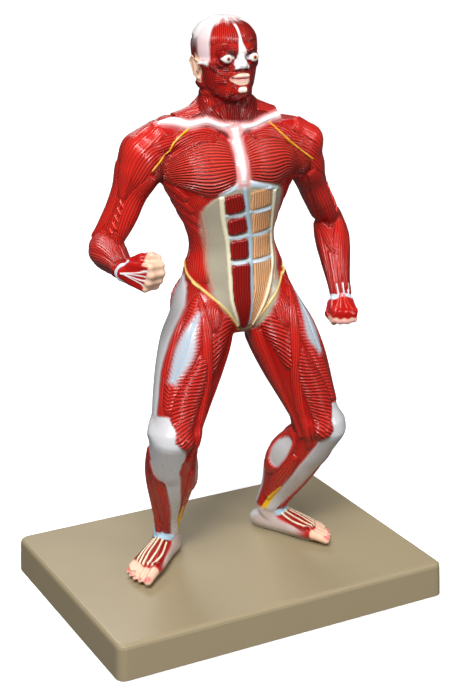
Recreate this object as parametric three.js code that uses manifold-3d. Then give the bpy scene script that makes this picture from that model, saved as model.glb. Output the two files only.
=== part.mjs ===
// Muscle anatomy figure on a rectangular stand.
// Millimetres, +Z up. The origin is the middle of the stand's underside, +X runs along the
// stand's long side to the figure's left, and the figure faces -Y.
import * as THREE from 'three';
import { LoftGeometry } from 'three/addons/geometries/LoftGeometry.js';
import { mergeVertices } from 'three/addons/utils/BufferGeometryUtils.js';
import Module from 'manifold-3d';

const wasm = await Module();
wasm.setup();

// ---- driving dimensions -------------------------------------------------------------------
const BASE_LENGTH = 312;
const BASE_WIDTH = 225;
const BASE_TOP = 32; // height of the stand's top face above the table
const PAD_STANDOFF = 1; // the rubber pads lift the cover's rim this far off the table
const BASE_DRAFT = 1.1; // how far the top edge leans in from the bottom edge
const BASE_CORNER = 7.5; // radius of the upright corners
const BASE_EDGE = 4; // radius of the rounded top edge
const BASE_WALL = 3;
const RIB_WALL = 2.5;
const RIB_RISE = 7; // the ribs' lower edges stay this far above the table
const RIB_X = [-110, 0, 110];
const RIB_Y = [-50, 50];
const POST_RADIUS = 9.5;
const POST_INSET = 15; // corner posts, from the cover's outside

const GAP = 0.3; // clearance between touching pieces
const CAST_WALL = 3; // wall of the hollow castings
const PLUG_REACH = 10; // how far a plug reaches into the castings on both sides of its seam
const COLLAR = 12; // solid collar on both sides of a seam, which the plug's socket runs through
const COLLAR_SPREAD = 3; // collar radius over plug radius
const SKIN_POINTS = 12; // points around each outer body ring
const CAVITY_POINTS = 8; // points around each inner ring
const ROUND_POINTS = 12; // points around each small turned piece
const CORNER_STEPS = 2; // fineness of the stand's upright corners
const BESIDE_TRUNK = 76; // beyond this far from the middle, and
const BELOW_ARMPIT = 318; // below this height, there is only arm
const HUGE = 400; // larger than any cut needs

const PAD_RADIUS = 7;
const PAD_RECESS = 1.2;
const SCREW_RADIUS = 2;
const SCREW_HEAD_RADIUS = 3.8;
const SCREW_HEAD_HEIGHT = 2.6;
const SCREW_BITE = 8.5; // length of thread above the stand's top face
const WASHER_RADIUS = 5.5;
const WASHER_THICKNESS = 1;
const INSERT_RADIUS = 3.8;
const INSERT_LENGTH = 10;
const INSERT_LIFT = 0.8; // the inserts start this far above the sole
const SCREWS_ALONG_FOOT = { heel: 0.24, ball: 0.62 };

// ---- joints of the pose -------------------------------------------------------------------
// Heights are above the stand's top face.
const JOINT = {
  crotch: [7, 0, 206],
  neckBase: [0, -1, 374],
  skullBase: [-3, 0, 403],
  crown: [-3, -1, 467],
  rightAcromion: [-56, 11, 368],
  leftAcromion: [52, -10, 368],
  rightShoulder: [-65, 13, 359],
  rightElbow: [-98, 30, 284],
  rightWrist: [-111, -40, 281],
  rightKnuckles: [-97, -60, 279],
  leftShoulder: [59, -8, 354],
  leftElbow: [107, 14, 286],
  leftWrist: [95, -29, 227],
  leftKnuckles: [84, -52, 218],
  rightHip: [-20, 1, 234],
  rightKnee: [-66, -31, 130],
  rightAnkle: [-52, 17, 20],
  rightHeel: [-38, 28, 9],
  rightToes: [-97, -24, 9],
  leftHip: [33, -4, 234],
  leftKnee: [68, -42, 121],
  leftAnkle: [55, 20, 20],
  leftHeel: [47, 36, 9],
  leftToes: [86, -29, 9],
};

// ---- body rings ---------------------------------------------------------------------------
// [fraction along the limb line, then the ring's reach to front, back, outer and inner side].
// A shoulder girdle's outer side is its top, and a foot's or forearm's front is its top.
const TORSO_ROWS = [
  [0.0, 14, 24, 24, 24],
  [0.07, 24, 34, 40, 40],
  [0.18, 29, 36, 48, 48],
  [0.32, 28, 28, 45, 45],
  [0.45, 27, 25, 38, 38],
  [0.57, 29, 27, 42, 42],
  [0.7, 34, 33, 51, 51],
  [0.8, 37, 37, 58, 58],
  [0.88, 34, 38, 58, 58],
  [0.95, 26, 34, 50, 50],
  [1.02, 16, 25, 34, 34],
];
const GIRDLE_ROWS = [
  [0.0, 18, 24, 34, 20],
  [0.3, 17, 22, 29, 14],
  [0.65, 15, 18, 22, 8],
  [1.0, 13, 15, 18, 5],
];
const NECK_ROWS = [
  [0.0, 17, 24, 25, 25],
  [0.4, 16, 22, 21, 21],
  [0.8, 17, 22, 19, 19],
  [1.2, 18, 22, 18, 18],
];
const HEAD_ROWS = [
  [0.0, 26, 4, 10, 10],
  [0.06, 29, 9, 16, 16],
  [0.18, 29.5, 19, 21, 21],
  [0.32, 29.5, 25, 23.5, 23.5],
  [0.48, 29, 29, 25, 25],
  [0.64, 29, 30, 26, 26],
  [0.78, 27, 29, 25, 25],
  [0.89, 21, 24, 20, 20],
  [0.96, 13, 15, 13, 13],
];
const UPPER_ARM_ROWS = [
  [-0.14, 13, 13, 12, 12],
  [0.0, 18, 19, 18, 14],
  [0.2, 20, 20, 18, 13],
  [0.4, 17, 16, 13, 11],
  [0.6, 18, 14, 11, 11],
  [0.8, 16, 13, 11, 11],
  [1.0, 11, 12, 11, 11],
];
const FOREARM_ROWS = [
  [-0.05, 11, 12, 11, 11],
  [0.12, 13, 14, 14, 13],
  [0.3, 13, 13, 15, 13],
  [0.55, 11, 11, 12, 11],
  [0.8, 8, 8, 9, 9],
  [1.0, 7, 7, 9, 9],
];
const RIGHT_HAND_ROWS = [
  [-0.1, 8, 8, 7, 7],
  [0.3, 15, 11, 9, 8],
  [0.8, 20, 13, 11, 12],
  [1.15, 17, 12, 9, 11],
];
const LEFT_HAND_ROWS = [
  [-0.1, 8, 7, 9, 9],
  [0.3, 9, 9, 12, 12],
  [0.8, 11, 10, 14, 14],
  [1.05, 9, 9, 13, 13],
];
const THIGH_ROWS = [
  [-0.12, 20, 24, 19, 18],
  [0.0, 26, 31, 24, 24],
  [0.15, 29, 32, 27, 27],
  [0.3, 30, 30, 30, 28],
  [0.5, 28, 27, 29, 26],
  [0.7, 24, 22, 26, 23],
  [0.85, 21, 19, 23, 21],
  [1.0, 18, 17, 20, 18],
];
const SHANK_ROWS = [
  [-0.06, 17, 14, 19, 17],
  [0.08, 18, 17, 20, 17],
  [0.2, 18, 22, 22, 18],
  [0.32, 18, 28, 23, 19],
  [0.45, 17, 30, 21, 18],
  [0.6, 15, 26, 17, 15],
  [0.8, 12, 18, 12, 11],
  [1.0, 11, 14, 12, 12],
];
const FOOT_ROWS = [
  [0.0, 5, 9, 7, 7],
  [0.08, 9, 10, 10, 10],
  [0.2, 14, 10, 12, 12],
  [0.34, 17, 10, 13, 12],
  [0.5, 12, 10, 14, 13],
  [0.7, 6.5, 10, 17, 15],
  [0.85, 2.5, 10, 18, 16],
  [1.0, -1, 9, 15, 14],
];

// ---- looks --------------------------------------------------------------------------------
const PAINTED_PVC = { color: 0xb02a22, roughness: 0.32, metalness: 0 };
const TAN_PLASTIC = { color: 0xb2a382, roughness: 0.45, metalness: 0 };
const BLACK_RUBBER = { color: 0x1d1d1d, roughness: 0.85, metalness: 0 };
const ZINC_STEEL = { color: 0xb9bcc0, roughness: 0.35, metalness: 1 };
const BRASS = { color: 0xb88a3e, roughness: 0.35, metalness: 1 };
const RAW_PVC = { color: 0xd9d2c3, roughness: 0.6, metalness: 0 };

// ---- solids -------------------------------------------------------------------------------
function solid(geometry) {
  const bare = new THREE.BufferGeometry();
  bare.setAttribute('position', geometry.getAttribute('position'));
  bare.setIndex(geometry.getIndex());
  const merged = mergeVertices(bare, 1e-4);
  const mesh = new wasm.Mesh({
    numProp: 3,
    vertProperties: merged.attributes.position.array,
    triVerts: new Uint32Array(merged.index.array),
  });
  return new wasm.Manifold(mesh);
}

function geometryOf(manifold) {
  const mesh = manifold.getMesh();
  const geometry = new THREE.BufferGeometry();
  geometry.setAttribute('position', new THREE.BufferAttribute(mesh.vertProperties, 3));
  geometry.setIndex(new THREE.BufferAttribute(mesh.triVerts, 1));
  geometry.computeVertexNormals();
  return geometry;
}

const union = (solids) => solids.reduce((all, next) => all.add(next));

const loft = (sections) => new LoftGeometry(sections, { closed: true, capStart: true, capEnd: true });

// An upright turned piece from [radius, height] corners, which start and end on the axis.
function turned(profile, [x, y, z] = [0, 0, 0]) {
  const points = profile.map(([radius, height]) => new THREE.Vector2(radius, height));
  return new THREE.LatheGeometry(points, ROUND_POINTS).rotateX(Math.PI / 2).translate(x, y, z);
}

const disc = (radius, low, high, [x, y]) =>
  turned([[0, low], [radius, low], [radius, high], [0, high]], [x, y, 0]);

function box([x0, x1], [y0, y1], [z0, z1]) {
  const geometry = new THREE.BoxGeometry(x1 - x0, y1 - y0, z1 - z0);
  return geometry.translate((x0 + x1) / 2, (y0 + y1) / 2, (z0 + z1) / 2);
}

// ---- directions ---------------------------------------------------------------------------
const vector = (name) => new THREE.Vector3(...JOINT[name]);

function facing(degrees) {
  const a = THREE.MathUtils.degToRad(degrees);
  return new THREE.Vector3(Math.cos(a), Math.sin(a), 0);
}

const UP = new THREE.Vector3(0, 0, 1);
const HEAD_FRONT = facing(-90);
const CHEST_FRONT = facing(-102);
const WAIST_FRONT = facing(-86);
const PELVIS_FRONT = facing(-96);
const RIGHT_ARM_FRONT = facing(-72);
const LEFT_ARM_FRONT = facing(-110);
const RIGHT_FOOT_FRONT = facing(-141);
const LEFT_FOOT_FRONT = facing(-60);

// ---- body tubes ---------------------------------------------------------------------------
// Each limb line runs from one joint to another. outerSign is 1 where the ring's outer side lies
// along line x front.
const LIMB = {
  torso: { line: ['crotch', 'neckBase'], front: [PELVIS_FRONT, WAIST_FRONT, CHEST_FRONT],
    rows: TORSO_ROWS, outerSign: 1, domes: [3, 6] },
  rightGirdle: { line: ['neckBase', 'rightAcromion'], front: [CHEST_FRONT, CHEST_FRONT],
    rows: GIRDLE_ROWS, outerSign: 1 },
  leftGirdle: { line: ['neckBase', 'leftAcromion'], front: [CHEST_FRONT, CHEST_FRONT],
    rows: GIRDLE_ROWS, outerSign: -1 },
  neck: { line: ['neckBase', 'skullBase'], front: [CHEST_FRONT, HEAD_FRONT],
    rows: NECK_ROWS, outerSign: 1, domes: [3, 3] },
  head: { line: ['skullBase', 'crown'], front: [HEAD_FRONT, HEAD_FRONT],
    rows: HEAD_ROWS, outerSign: 1, domes: [2, 3] },
  rightUpperArm: { line: ['rightShoulder', 'rightElbow'], front: [RIGHT_ARM_FRONT, RIGHT_ARM_FRONT],
    rows: UPPER_ARM_ROWS, outerSign: 1 },
  leftUpperArm: { line: ['leftShoulder', 'leftElbow'], front: [LEFT_ARM_FRONT, LEFT_ARM_FRONT],
    rows: UPPER_ARM_ROWS, outerSign: -1 },
  rightForearm: { line: ['rightElbow', 'rightWrist'], front: [UP, UP],
    rows: FOREARM_ROWS, outerSign: 1 },
  leftForearm: { line: ['leftElbow', 'leftWrist'], front: [UP, UP],
    rows: FOREARM_ROWS, outerSign: -1 },
  rightHand: { line: ['rightWrist', 'rightKnuckles'], front: [UP, UP],
    rows: RIGHT_HAND_ROWS, outerSign: 1, domes: [3, 3] },
  leftHand: { line: ['leftWrist', 'leftKnuckles'], front: [UP, UP],
    rows: LEFT_HAND_ROWS, outerSign: -1, domes: [3, 3] },
  rightThigh: { line: ['rightHip', 'rightKnee'], front: [PELVIS_FRONT, RIGHT_FOOT_FRONT],
    rows: THIGH_ROWS, outerSign: 1 },
  leftThigh: { line: ['leftHip', 'leftKnee'], front: [PELVIS_FRONT, LEFT_FOOT_FRONT],
    rows: THIGH_ROWS, outerSign: -1 },
  rightShank: { line: ['rightKnee', 'rightAnkle'], front: [RIGHT_FOOT_FRONT, RIGHT_FOOT_FRONT],
    rows: SHANK_ROWS, outerSign: 1 },
  leftShank: { line: ['leftKnee', 'leftAnkle'], front: [LEFT_FOOT_FRONT, LEFT_FOOT_FRONT],
    rows: SHANK_ROWS, outerSign: -1 },
  rightFoot: { line: ['rightHeel', 'rightToes'], front: [UP, UP],
    rows: FOOT_ROWS, outerSign: 1, domes: [2, 3] },
  leftFoot: { line: ['leftHeel', 'leftToes'], front: [UP, UP],
    rows: FOOT_ROWS, outerSign: -1, domes: [2, 3] },
};

// A closed tube of quarter-ellipse rings along a limb line, with domed ends. shrink moves the
// whole surface inwards.
function bodyTube({ line, front, rows, outerSign, domes = [6, 6] }, shrink = 0) {
  const start = vector(line[0]);
  const span = vector(line[1]).sub(start);
  const along = span.clone().normalize();
  const first = rows[0];
  const last = rows[rows.length - 1];
  const reach = span.length();
  const rings = [
    ...[75, 45].map((turn) => domeStation(first, -domes[0] / reach, turn)),
    ...rows,
    ...[45, 75].map((turn) => domeStation(last, domes[1] / reach, turn)),
  ];
  const sections = rings.map(([s, ...radii]) => {
    const centre = start.clone().addScaledVector(span, s);
    const forward = frontAt(front, s);
    forward.addScaledVector(along, -forward.dot(along)).normalize();
    const side = along.clone().cross(forward).multiplyScalar(outerSign);
    const points = ring(centre, forward, side, radii.map((r) => Math.max(r - shrink, 0.5)),
      shrink > 0 ? CAVITY_POINTS : SKIN_POINTS);
    return outerSign > 0 ? points : points.reverse();
  });
  return solid(loft(sections));
}

// The front direction at fraction s, blended between directions spaced evenly along the line.
function frontAt(directions, s) {
  const place = THREE.MathUtils.clamp(s, 0, 1) * (directions.length - 1);
  const index = Math.min(Math.floor(place), directions.length - 2);
  return directions[index].clone().lerp(directions[index + 1], place - index);
}

// A smaller ring beyond an end ring, turn degrees round the dome that closes the tube.
function domeStation([s, ...radii], depth, turn) {
  const a = THREE.MathUtils.degToRad(turn);
  return [s + depth * Math.sin(a), ...radii.map((r) => r * Math.cos(a))];
}

function ring(centre, forward, side, [ahead, behind, outer, inner], count) {
  return Array.from({ length: count }, (_, i) => {
    const a = (i / count) * 2 * Math.PI;
    const c = Math.cos(a);
    const s = Math.sin(a);
    return centre.clone()
      .addScaledVector(forward, c * (c > 0 ? ahead : behind))
      .addScaledVector(side, s * (s > 0 ? outer : inner));
  });
}

// ---- seams between the castings -----------------------------------------------------------
// Each seam is a plane with a round plug through it: the plug's middle, the direction that points
// out of the torso, and the plug's radius.
const chestSide = CHEST_FRONT.clone().cross(UP).negate();
const shoulderSeam = (across) => ({
  point: vector('neckBase').addScaledVector(chestSide, across).setZ(350),
  out: chestSide.clone().multiplyScalar(Math.sign(across) * 0.93).addScaledVector(UP, 0.37),
  radius: 8,
});
const hipSeam = (side, sign) => ({
  point: vector(`${side}Hip`),
  out: new THREE.Vector3(sign * 0.83, 0, -0.56),
  radius: 13,
});
const SEAM = {
  neck: {
    point: new THREE.Vector3(-2, 0, 394),
    out: vector('skullBase').sub(vector('neckBase')),
    radius: 8,
  },
  rightShoulder: shoulderSeam(-57),
  leftShoulder: shoulderSeam(56),
  rightHip: hipSeam('right', -1),
  leftHip: hipSeam('left', 1),
};

// Moves geometry made along +Z from the origin to a seam, along its direction.
function atSeam(geometry, { point, out }) {
  const turn = new THREE.Quaternion().setFromUnitVectors(UP, out.clone().normalize());
  return geometry.applyQuaternion(turn).translate(...point.toArray());
}

// Everything on the outer side of a seam, starting this far past it.
function beyond(seam, offset) {
  const block = new THREE.BoxGeometry(HUGE, HUGE, HUGE).translate(0, 0, HUGE / 2 + offset);
  return solid(atSeam(block, seam));
}

const pin = (seam, radius, reach) => solid(atSeam(disc(radius, -reach, reach, [0, 0]), seam));

const collar = (seam) => pin(seam, COLLAR_SPREAD * seam.radius, COLLAR);

const socket = (seam) => pin(seam, seam.radius + GAP, COLLAR + 1);

const plug = (seam) => pin(seam, seam.radius, PLUG_REACH);

// ---- castings -----------------------------------------------------------------------------
const aboveSole = solid(box([-HUGE, HUGE], [-HUGE, HUGE], [0, 2 * HUGE]));
const tubes = (names, shrink) => union(names.map((name) => bodyTube(LIMB[name], shrink)));

// A casting's wall: the joined skin of its limbs, less a cavity that opens through the sockets.
function castShell(skinLimbs, hollowLimbs, seams) {
  const hollow = seams.reduce((left, seam) => left.subtract(collar(seam)).add(socket(seam)),
    tubes(hollowLimbs, CAST_WALL));
  return tubes(skinLimbs).intersect(aboveSole).subtract(hollow);
}

function torsoCasting() {
  const seams = Object.values(SEAM);
  const limbs = ['torso', 'rightGirdle', 'leftGirdle', 'neck'];
  const roots = ['rightUpperArm', 'leftUpperArm', 'rightThigh', 'leftThigh'];
  const shell = castShell([...limbs, ...roots], ['torso'], seams);
  return seams.reduce((left, seam) => left.subtract(beyond(seam, -GAP / 2)), shell);
}

function outerCasting(seam, skinLimbs, hollowLimbs) {
  return castShell(skinLimbs, hollowLimbs, [seam]).intersect(beyond(seam, GAP / 2));
}

const headCasting = () => outerCasting(SEAM.neck,
  ['head', 'neck', 'rightGirdle', 'leftGirdle'], ['head']);

// The shoulder's seam plane would run on through the forearm, so below the armpit everything
// beside the trunk belongs to the arm.
function armCasting(side) {
  const seam = SEAM[`${side}Shoulder`];
  const beside = side === 'right' ? [-HUGE, -BESIDE_TRUNK] : [BESIDE_TRUNK, HUGE];
  const reach = beyond(seam, GAP / 2).add(solid(box(beside, [-HUGE, HUGE], [0, BELOW_ARMPIT])));
  const limbs = [`${side}UpperArm`, `${side}Forearm`];
  return castShell([...limbs, `${side}Hand`, `${side}Girdle`], limbs, [seam])
    .intersect(reach)
    .subtract(beyond(SEAM.neck, -GAP / 2));
}

const screwPlaces = ['right', 'left'].flatMap((side) =>
  Object.entries(SCREWS_ALONG_FOOT).map(([part, along]) => ({
    name: `${side}_${part}`,
    side,
    at: vector(`${side}Heel`).lerp(vector(`${side}Toes`), along).toArray().slice(0, 2),
  })));

function legCasting(side) {
  const bores = screwPlaces.filter((place) => place.side === side).map(({ at }) =>
    solid(disc(INSERT_RADIUS + GAP, -1, INSERT_LIFT + INSERT_LENGTH + GAP, at)));
  return outerCasting(SEAM[`${side}Hip`],
    [`${side}Thigh`, `${side}Shank`, `${side}Foot`, 'torso'],
    [`${side}Thigh`, `${side}Shank`]).subtract(union(bores));
}

// ---- stand --------------------------------------------------------------------------------
function roundedRectangle(length, width, radius, z) {
  const shape = new THREE.Shape();
  const [x, y] = [length / 2, width / 2];
  const quarter = Math.PI / 2;
  shape.absarc(x - radius, y - radius, radius, 0, quarter);
  shape.absarc(radius - x, y - radius, radius, quarter, 2 * quarter);
  shape.absarc(radius - x, radius - y, radius, 2 * quarter, 3 * quarter);
  shape.absarc(x - radius, radius - y, radius, 3 * quarter, 4 * quarter);
  return shape.getPoints(CORNER_STEPS).slice(0, -1).map((p) => new THREE.Vector3(p.x, p.y, z));
}

// The stand's outside moved inwards by inset, from height low to its rounded top edge.
function standBlock(inset, low, top) {
  const edge = BASE_EDGE - Math.min(inset, BASE_EDGE - 1);
  const corner = Math.max(BASE_CORNER - inset, 1);
  const level = (z, pull) => {
    const side = 2 * (inset + pull + (BASE_DRAFT * z) / BASE_TOP);
    return roundedRectangle(BASE_LENGTH - side, BASE_WIDTH - side, corner - pull * 0.6, z);
  };
  const bends = [0, 30, 60, 90].map(THREE.MathUtils.degToRad);
  return solid(loft([
    level(low, 0),
    ...bends.map((a) => level(top - edge * (1 - Math.sin(a)), edge * (1 - Math.cos(a)))),
  ]));
}

const postPlaces = [-1, 1].flatMap((sx) => [-1, 1].map((sy) => ({
  name: `${sy < 0 ? 'front' : 'back'}_${sx < 0 ? 'right' : 'left'}`,
  at: [sx * (BASE_LENGTH / 2 - POST_INSET), sy * (BASE_WIDTH / 2 - POST_INSET)],
})));

function standCover() {
  const ceiling = BASE_TOP - BASE_WALL;
  const inside = standBlock(BASE_WALL, -1, ceiling);
  const reach = [-BASE_LENGTH, BASE_LENGTH];
  const ribHeights = [RIB_RISE, ceiling + 1];
  const rib = (middle) => [middle - RIB_WALL / 2, middle + RIB_WALL / 2];
  const ribs = union([
    ...RIB_X.map((x) => solid(box(rib(x), reach, ribHeights))),
    ...RIB_Y.map((y) => solid(box(reach, rib(y), ribHeights))),
  ]);
  const posts = union(postPlaces.map(({ at }) =>
    solid(disc(POST_RADIUS, PAD_STANDOFF, ceiling + 1, at))));
  const recesses = union(postPlaces.map(({ at }) =>
    solid(disc(PAD_RADIUS + GAP, -1, PAD_STANDOFF + PAD_RECESS, at))));
  const screwHoles = union(screwPlaces.map(({ at }) =>
    solid(disc(SCREW_RADIUS + GAP, ceiling - 1, BASE_TOP + 1, at))));
  const block = standBlock(0, PAD_STANDOFF, BASE_TOP);
  const fittings = ribs.add(posts).intersect(standBlock(BASE_WALL / 2, -1, ceiling + 1));
  return block.subtract(inside).add(fittings).subtract(recesses).subtract(screwHoles);
}

// ---- fasteners ----------------------------------------------------------------------------
const washerTop = BASE_TOP - BASE_WALL - GAP;
const washerBottom = washerTop - WASHER_THICKNESS;
const headTop = washerBottom - GAP;

const screw = (at) => turned([
  [0, headTop - SCREW_HEAD_HEIGHT],
  [SCREW_HEAD_RADIUS - 0.8, headTop - SCREW_HEAD_HEIGHT],
  [SCREW_HEAD_RADIUS, headTop - 1],
  [SCREW_HEAD_RADIUS, headTop],
  [SCREW_RADIUS, headTop],
  [SCREW_RADIUS, BASE_TOP + SCREW_BITE - 1],
  [SCREW_RADIUS - 1, BASE_TOP + SCREW_BITE],
  [0, BASE_TOP + SCREW_BITE],
], [...at, 0]);

const washer = (at) => solid(disc(WASHER_RADIUS, washerBottom, washerTop, at))
  .subtract(solid(disc(SCREW_RADIUS + GAP, washerBottom - 1, washerTop + 1, at)));

const insertLow = BASE_TOP + GAP + INSERT_LIFT;
const insert = (at) => turned([
  [0, insertLow + INSERT_LENGTH - 1],
  [SCREW_RADIUS + GAP, insertLow + INSERT_LENGTH - 1],
  [SCREW_RADIUS + GAP, insertLow],
  [INSERT_RADIUS, insertLow],
  [INSERT_RADIUS, insertLow + INSERT_LENGTH],
  [0, insertLow + INSERT_LENGTH],
], [...at, 0]);

const pad = (at) => turned([
  [0, 0],
  [PAD_RADIUS - 0.5, 0],
  [PAD_RADIUS, 0.5],
  [PAD_RADIUS, PAD_STANDOFF + PAD_RECESS - GAP],
  [0, PAD_STANDOFF + PAD_RECESS - GAP],
], [...at, 0]);

// ---- assembly -----------------------------------------------------------------------------
const root = new THREE.Group();
const figure = new THREE.Group();
figure.position.z = BASE_TOP + GAP;
root.add(figure);

function place(parent, name, shape, look) {
  const geometry = shape instanceof THREE.BufferGeometry ? shape : geometryOf(shape);
  const mesh = new THREE.Mesh(geometry, new THREE.MeshStandardMaterial(look));
  mesh.name = name;
  parent.add(mesh);
}

place(root, 'stand_cover', standCover(), TAN_PLASTIC);
for (const { name, at } of postPlaces) place(root, `rubber_pad_${name}`, pad(at), BLACK_RUBBER);
for (const { name, at } of screwPlaces) {
  place(root, `screw_${name}`, screw(at), ZINC_STEEL);
  place(root, `washer_${name}`, washer(at), ZINC_STEEL);
  place(root, `threaded_insert_${name}`, insert(at), BRASS);
}
place(figure, 'head_and_neck', headCasting(), PAINTED_PVC);
place(figure, 'torso', torsoCasting(), PAINTED_PVC);
place(figure, 'neck_plug', plug(SEAM.neck), RAW_PVC);
for (const side of ['right', 'left']) {
  place(figure, `${side}_arm`, armCasting(side), PAINTED_PVC);
  place(figure, `${side}_leg`, legCasting(side), PAINTED_PVC);
  place(figure, `${side}_shoulder_plug`, plug(SEAM[`${side}Shoulder`]), RAW_PVC);
  place(figure, `${side}_hip_plug`, plug(SEAM[`${side}Hip`]), RAW_PVC);
}

export default root;
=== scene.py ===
"""Looks of the muscle anatomy figure: sculpted, painted castings on a moulded stand."""

import math

import bpy
import bmesh
import numpy as np
import openvdb
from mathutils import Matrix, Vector


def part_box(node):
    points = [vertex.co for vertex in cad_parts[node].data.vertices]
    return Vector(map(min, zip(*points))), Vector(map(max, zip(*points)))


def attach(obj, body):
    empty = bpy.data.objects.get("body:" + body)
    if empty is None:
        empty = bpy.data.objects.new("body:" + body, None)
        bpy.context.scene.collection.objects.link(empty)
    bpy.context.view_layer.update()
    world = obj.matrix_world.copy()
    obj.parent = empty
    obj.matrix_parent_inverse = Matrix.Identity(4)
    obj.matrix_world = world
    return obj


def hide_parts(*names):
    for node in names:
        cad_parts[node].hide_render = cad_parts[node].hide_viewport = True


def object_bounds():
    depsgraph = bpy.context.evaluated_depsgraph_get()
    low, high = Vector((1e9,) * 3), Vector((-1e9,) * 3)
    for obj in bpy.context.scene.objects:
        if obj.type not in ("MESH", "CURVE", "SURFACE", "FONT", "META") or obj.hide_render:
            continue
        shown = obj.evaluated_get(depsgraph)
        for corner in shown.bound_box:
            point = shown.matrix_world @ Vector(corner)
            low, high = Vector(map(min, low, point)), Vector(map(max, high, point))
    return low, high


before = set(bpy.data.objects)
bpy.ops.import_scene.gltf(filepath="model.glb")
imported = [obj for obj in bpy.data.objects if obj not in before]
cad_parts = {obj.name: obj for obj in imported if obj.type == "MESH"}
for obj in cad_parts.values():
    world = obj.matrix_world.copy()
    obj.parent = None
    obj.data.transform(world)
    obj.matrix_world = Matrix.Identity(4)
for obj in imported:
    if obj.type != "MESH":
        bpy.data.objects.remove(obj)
cad_low, cad_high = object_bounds()

# ---- sizes from the frame -----------------------------------------------------------------
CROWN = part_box("head_and_neck")[1][2]
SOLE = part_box("right_leg")[0][2]
FIGURE_HEIGHT = 467.4  # sole to crown, in the figure units of the tables below
UNIT = (CROWN - SOLE) / FIGURE_HEIGHT  # metres in one figure unit, about a millimetre

# ==== figure engine ========================================================================
# ---- joints of the pose, in figure units above the soles ------------------------------------
JOINT = {
    "crotch": (7, 0, 206), "neckBase": (0, -1, 374), "skullBase": (-3, 0, 403),
    "crown": (-3, -1, 467), "rightAcromion": (-56, 11, 368), "leftAcromion": (52, -10, 368),
    "rightShoulder": (-65, 13, 359), "rightElbow": (-98, 30, 284), "rightWrist": (-111, -40, 281),
    "rightKnuckles": (-97, -60, 279), "leftShoulder": (59, -8, 354), "leftElbow": (107, 14, 286),
    "leftWrist": (95, -29, 227), "leftKnuckles": (84, -52, 218), "rightHip": (-20, 1, 234),
    "rightKnee": (-66, -31, 130), "rightAnkle": (-52, 17, 20), "rightHeel": (-38, 28, 9),
    "rightToes": (-97, -24, 9), "leftHip": (33, -4, 234), "leftKnee": (68, -42, 121),
    "leftAnkle": (55, 20, 20), "leftHeel": (47, 36, 9), "leftToes": (86, -29, 9),
}

# ---- body rings: fraction along the limb, then reach to front, back, outer and inner ---------
TORSO_ROWS = [
    (0.0, 14, 24, 24, 24), (0.07, 24, 34, 40, 40), (0.18, 29, 36, 48, 48), (0.32, 28, 28, 45, 45),
    (0.45, 27, 25, 38, 38), (0.57, 29, 27, 42, 42), (0.7, 34, 33, 51, 51), (0.8, 37, 37, 58, 58),
    (0.88, 34, 38, 58, 58), (0.95, 26, 34, 50, 50), (1.02, 16, 25, 34, 34)]
GIRDLE_ROWS = [
    (0.0, 18, 24, 34, 20), (0.3, 17, 22, 29, 14), (0.65, 15, 18, 22, 8), (1.0, 13, 15, 18, 5)]
NECK_ROWS = [
    (0.0, 17, 24, 25, 25), (0.4, 16, 22, 21, 21), (0.8, 17, 22, 19, 19), (1.2, 18, 22, 18, 18)]
HEAD_ROWS = [
    (0.0, 26, 4, 10, 10), (0.06, 29, 9, 16, 16), (0.18, 29.5, 19, 21, 21),
    (0.32, 29.5, 25, 23.5, 23.5), (0.48, 29, 29, 25, 25), (0.64, 29, 30, 26, 26),
    (0.78, 27, 29, 25, 25), (0.89, 21, 24, 20, 20), (0.96, 13, 15, 13, 13)]
UPPER_ARM_ROWS = [
    (-0.14, 13, 13, 12, 12), (0.0, 18, 19, 18, 14), (0.2, 20, 20, 18, 13), (0.4, 17, 16, 13, 11),
    (0.6, 18, 14, 11, 11), (0.8, 16, 13, 11, 11), (1.0, 11, 12, 11, 11)]
FOREARM_ROWS = [
    (-0.05, 11, 12, 11, 11), (0.12, 13, 14, 14, 13), (0.3, 13, 13, 15, 13),
    (0.55, 11, 11, 12, 11), (0.8, 8, 8, 9, 9), (1.0, 7, 7, 9, 9)]
RIGHT_HAND_ROWS = [
    (-0.1, 8, 8, 7, 7), (0.3, 10, 10, 7, 6), (0.8, 11, 11, 7, 6), (0.95, 10, 10, 6, 5)]
LEFT_HAND_ROWS = [
    (-0.1, 7, 6, 9, 9), (0.3, 7, 6, 11, 10), (0.8, 7, 6, 12, 12), (0.95, 6, 5, 11, 11)]
THIGH_ROWS = [
    (-0.12, 20, 24, 19, 18), (0.0, 26, 31, 24, 24), (0.15, 29, 32, 27, 27), (0.3, 30, 30, 30, 28),
    (0.5, 28, 27, 29, 26), (0.7, 24, 22, 26, 23), (0.85, 21, 19, 23, 21), (1.0, 18, 17, 20, 18)]
SHANK_ROWS = [
    (-0.06, 17, 14, 19, 17), (0.08, 18, 17, 20, 17), (0.2, 18, 22, 22, 18), (0.32, 18, 28, 23, 19),
    (0.45, 17, 30, 21, 18), (0.6, 15, 26, 17, 15), (0.8, 12, 18, 12, 11), (1.0, 11, 14, 12, 12)]
FOOT_ROWS = [
    (0.0, 5, 9, 7, 7), (0.08, 9, 10, 10, 10), (0.2, 14, 10, 12, 12), (0.34, 17, 10, 13, 12),
    (0.5, 12, 10, 14, 13), (0.7, 6.5, 10, 17, 15), (0.82, 3, 10, 17, 15), (0.9, 0.5, 9, 13, 12)]


def unit(v):
    v = np.asarray(v, float)
    return v / np.linalg.norm(v)


def facing(degrees):
    a = math.radians(degrees)
    return np.array([math.cos(a), math.sin(a), 0.0])


def dot(a, b):
    return np.einsum("ij,ij->i", a, b)


def smooth(low, high, x):
    t = np.clip((x - low) / (high - low), 0, 1)
    return t * t * (3 - 2 * t)


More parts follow.
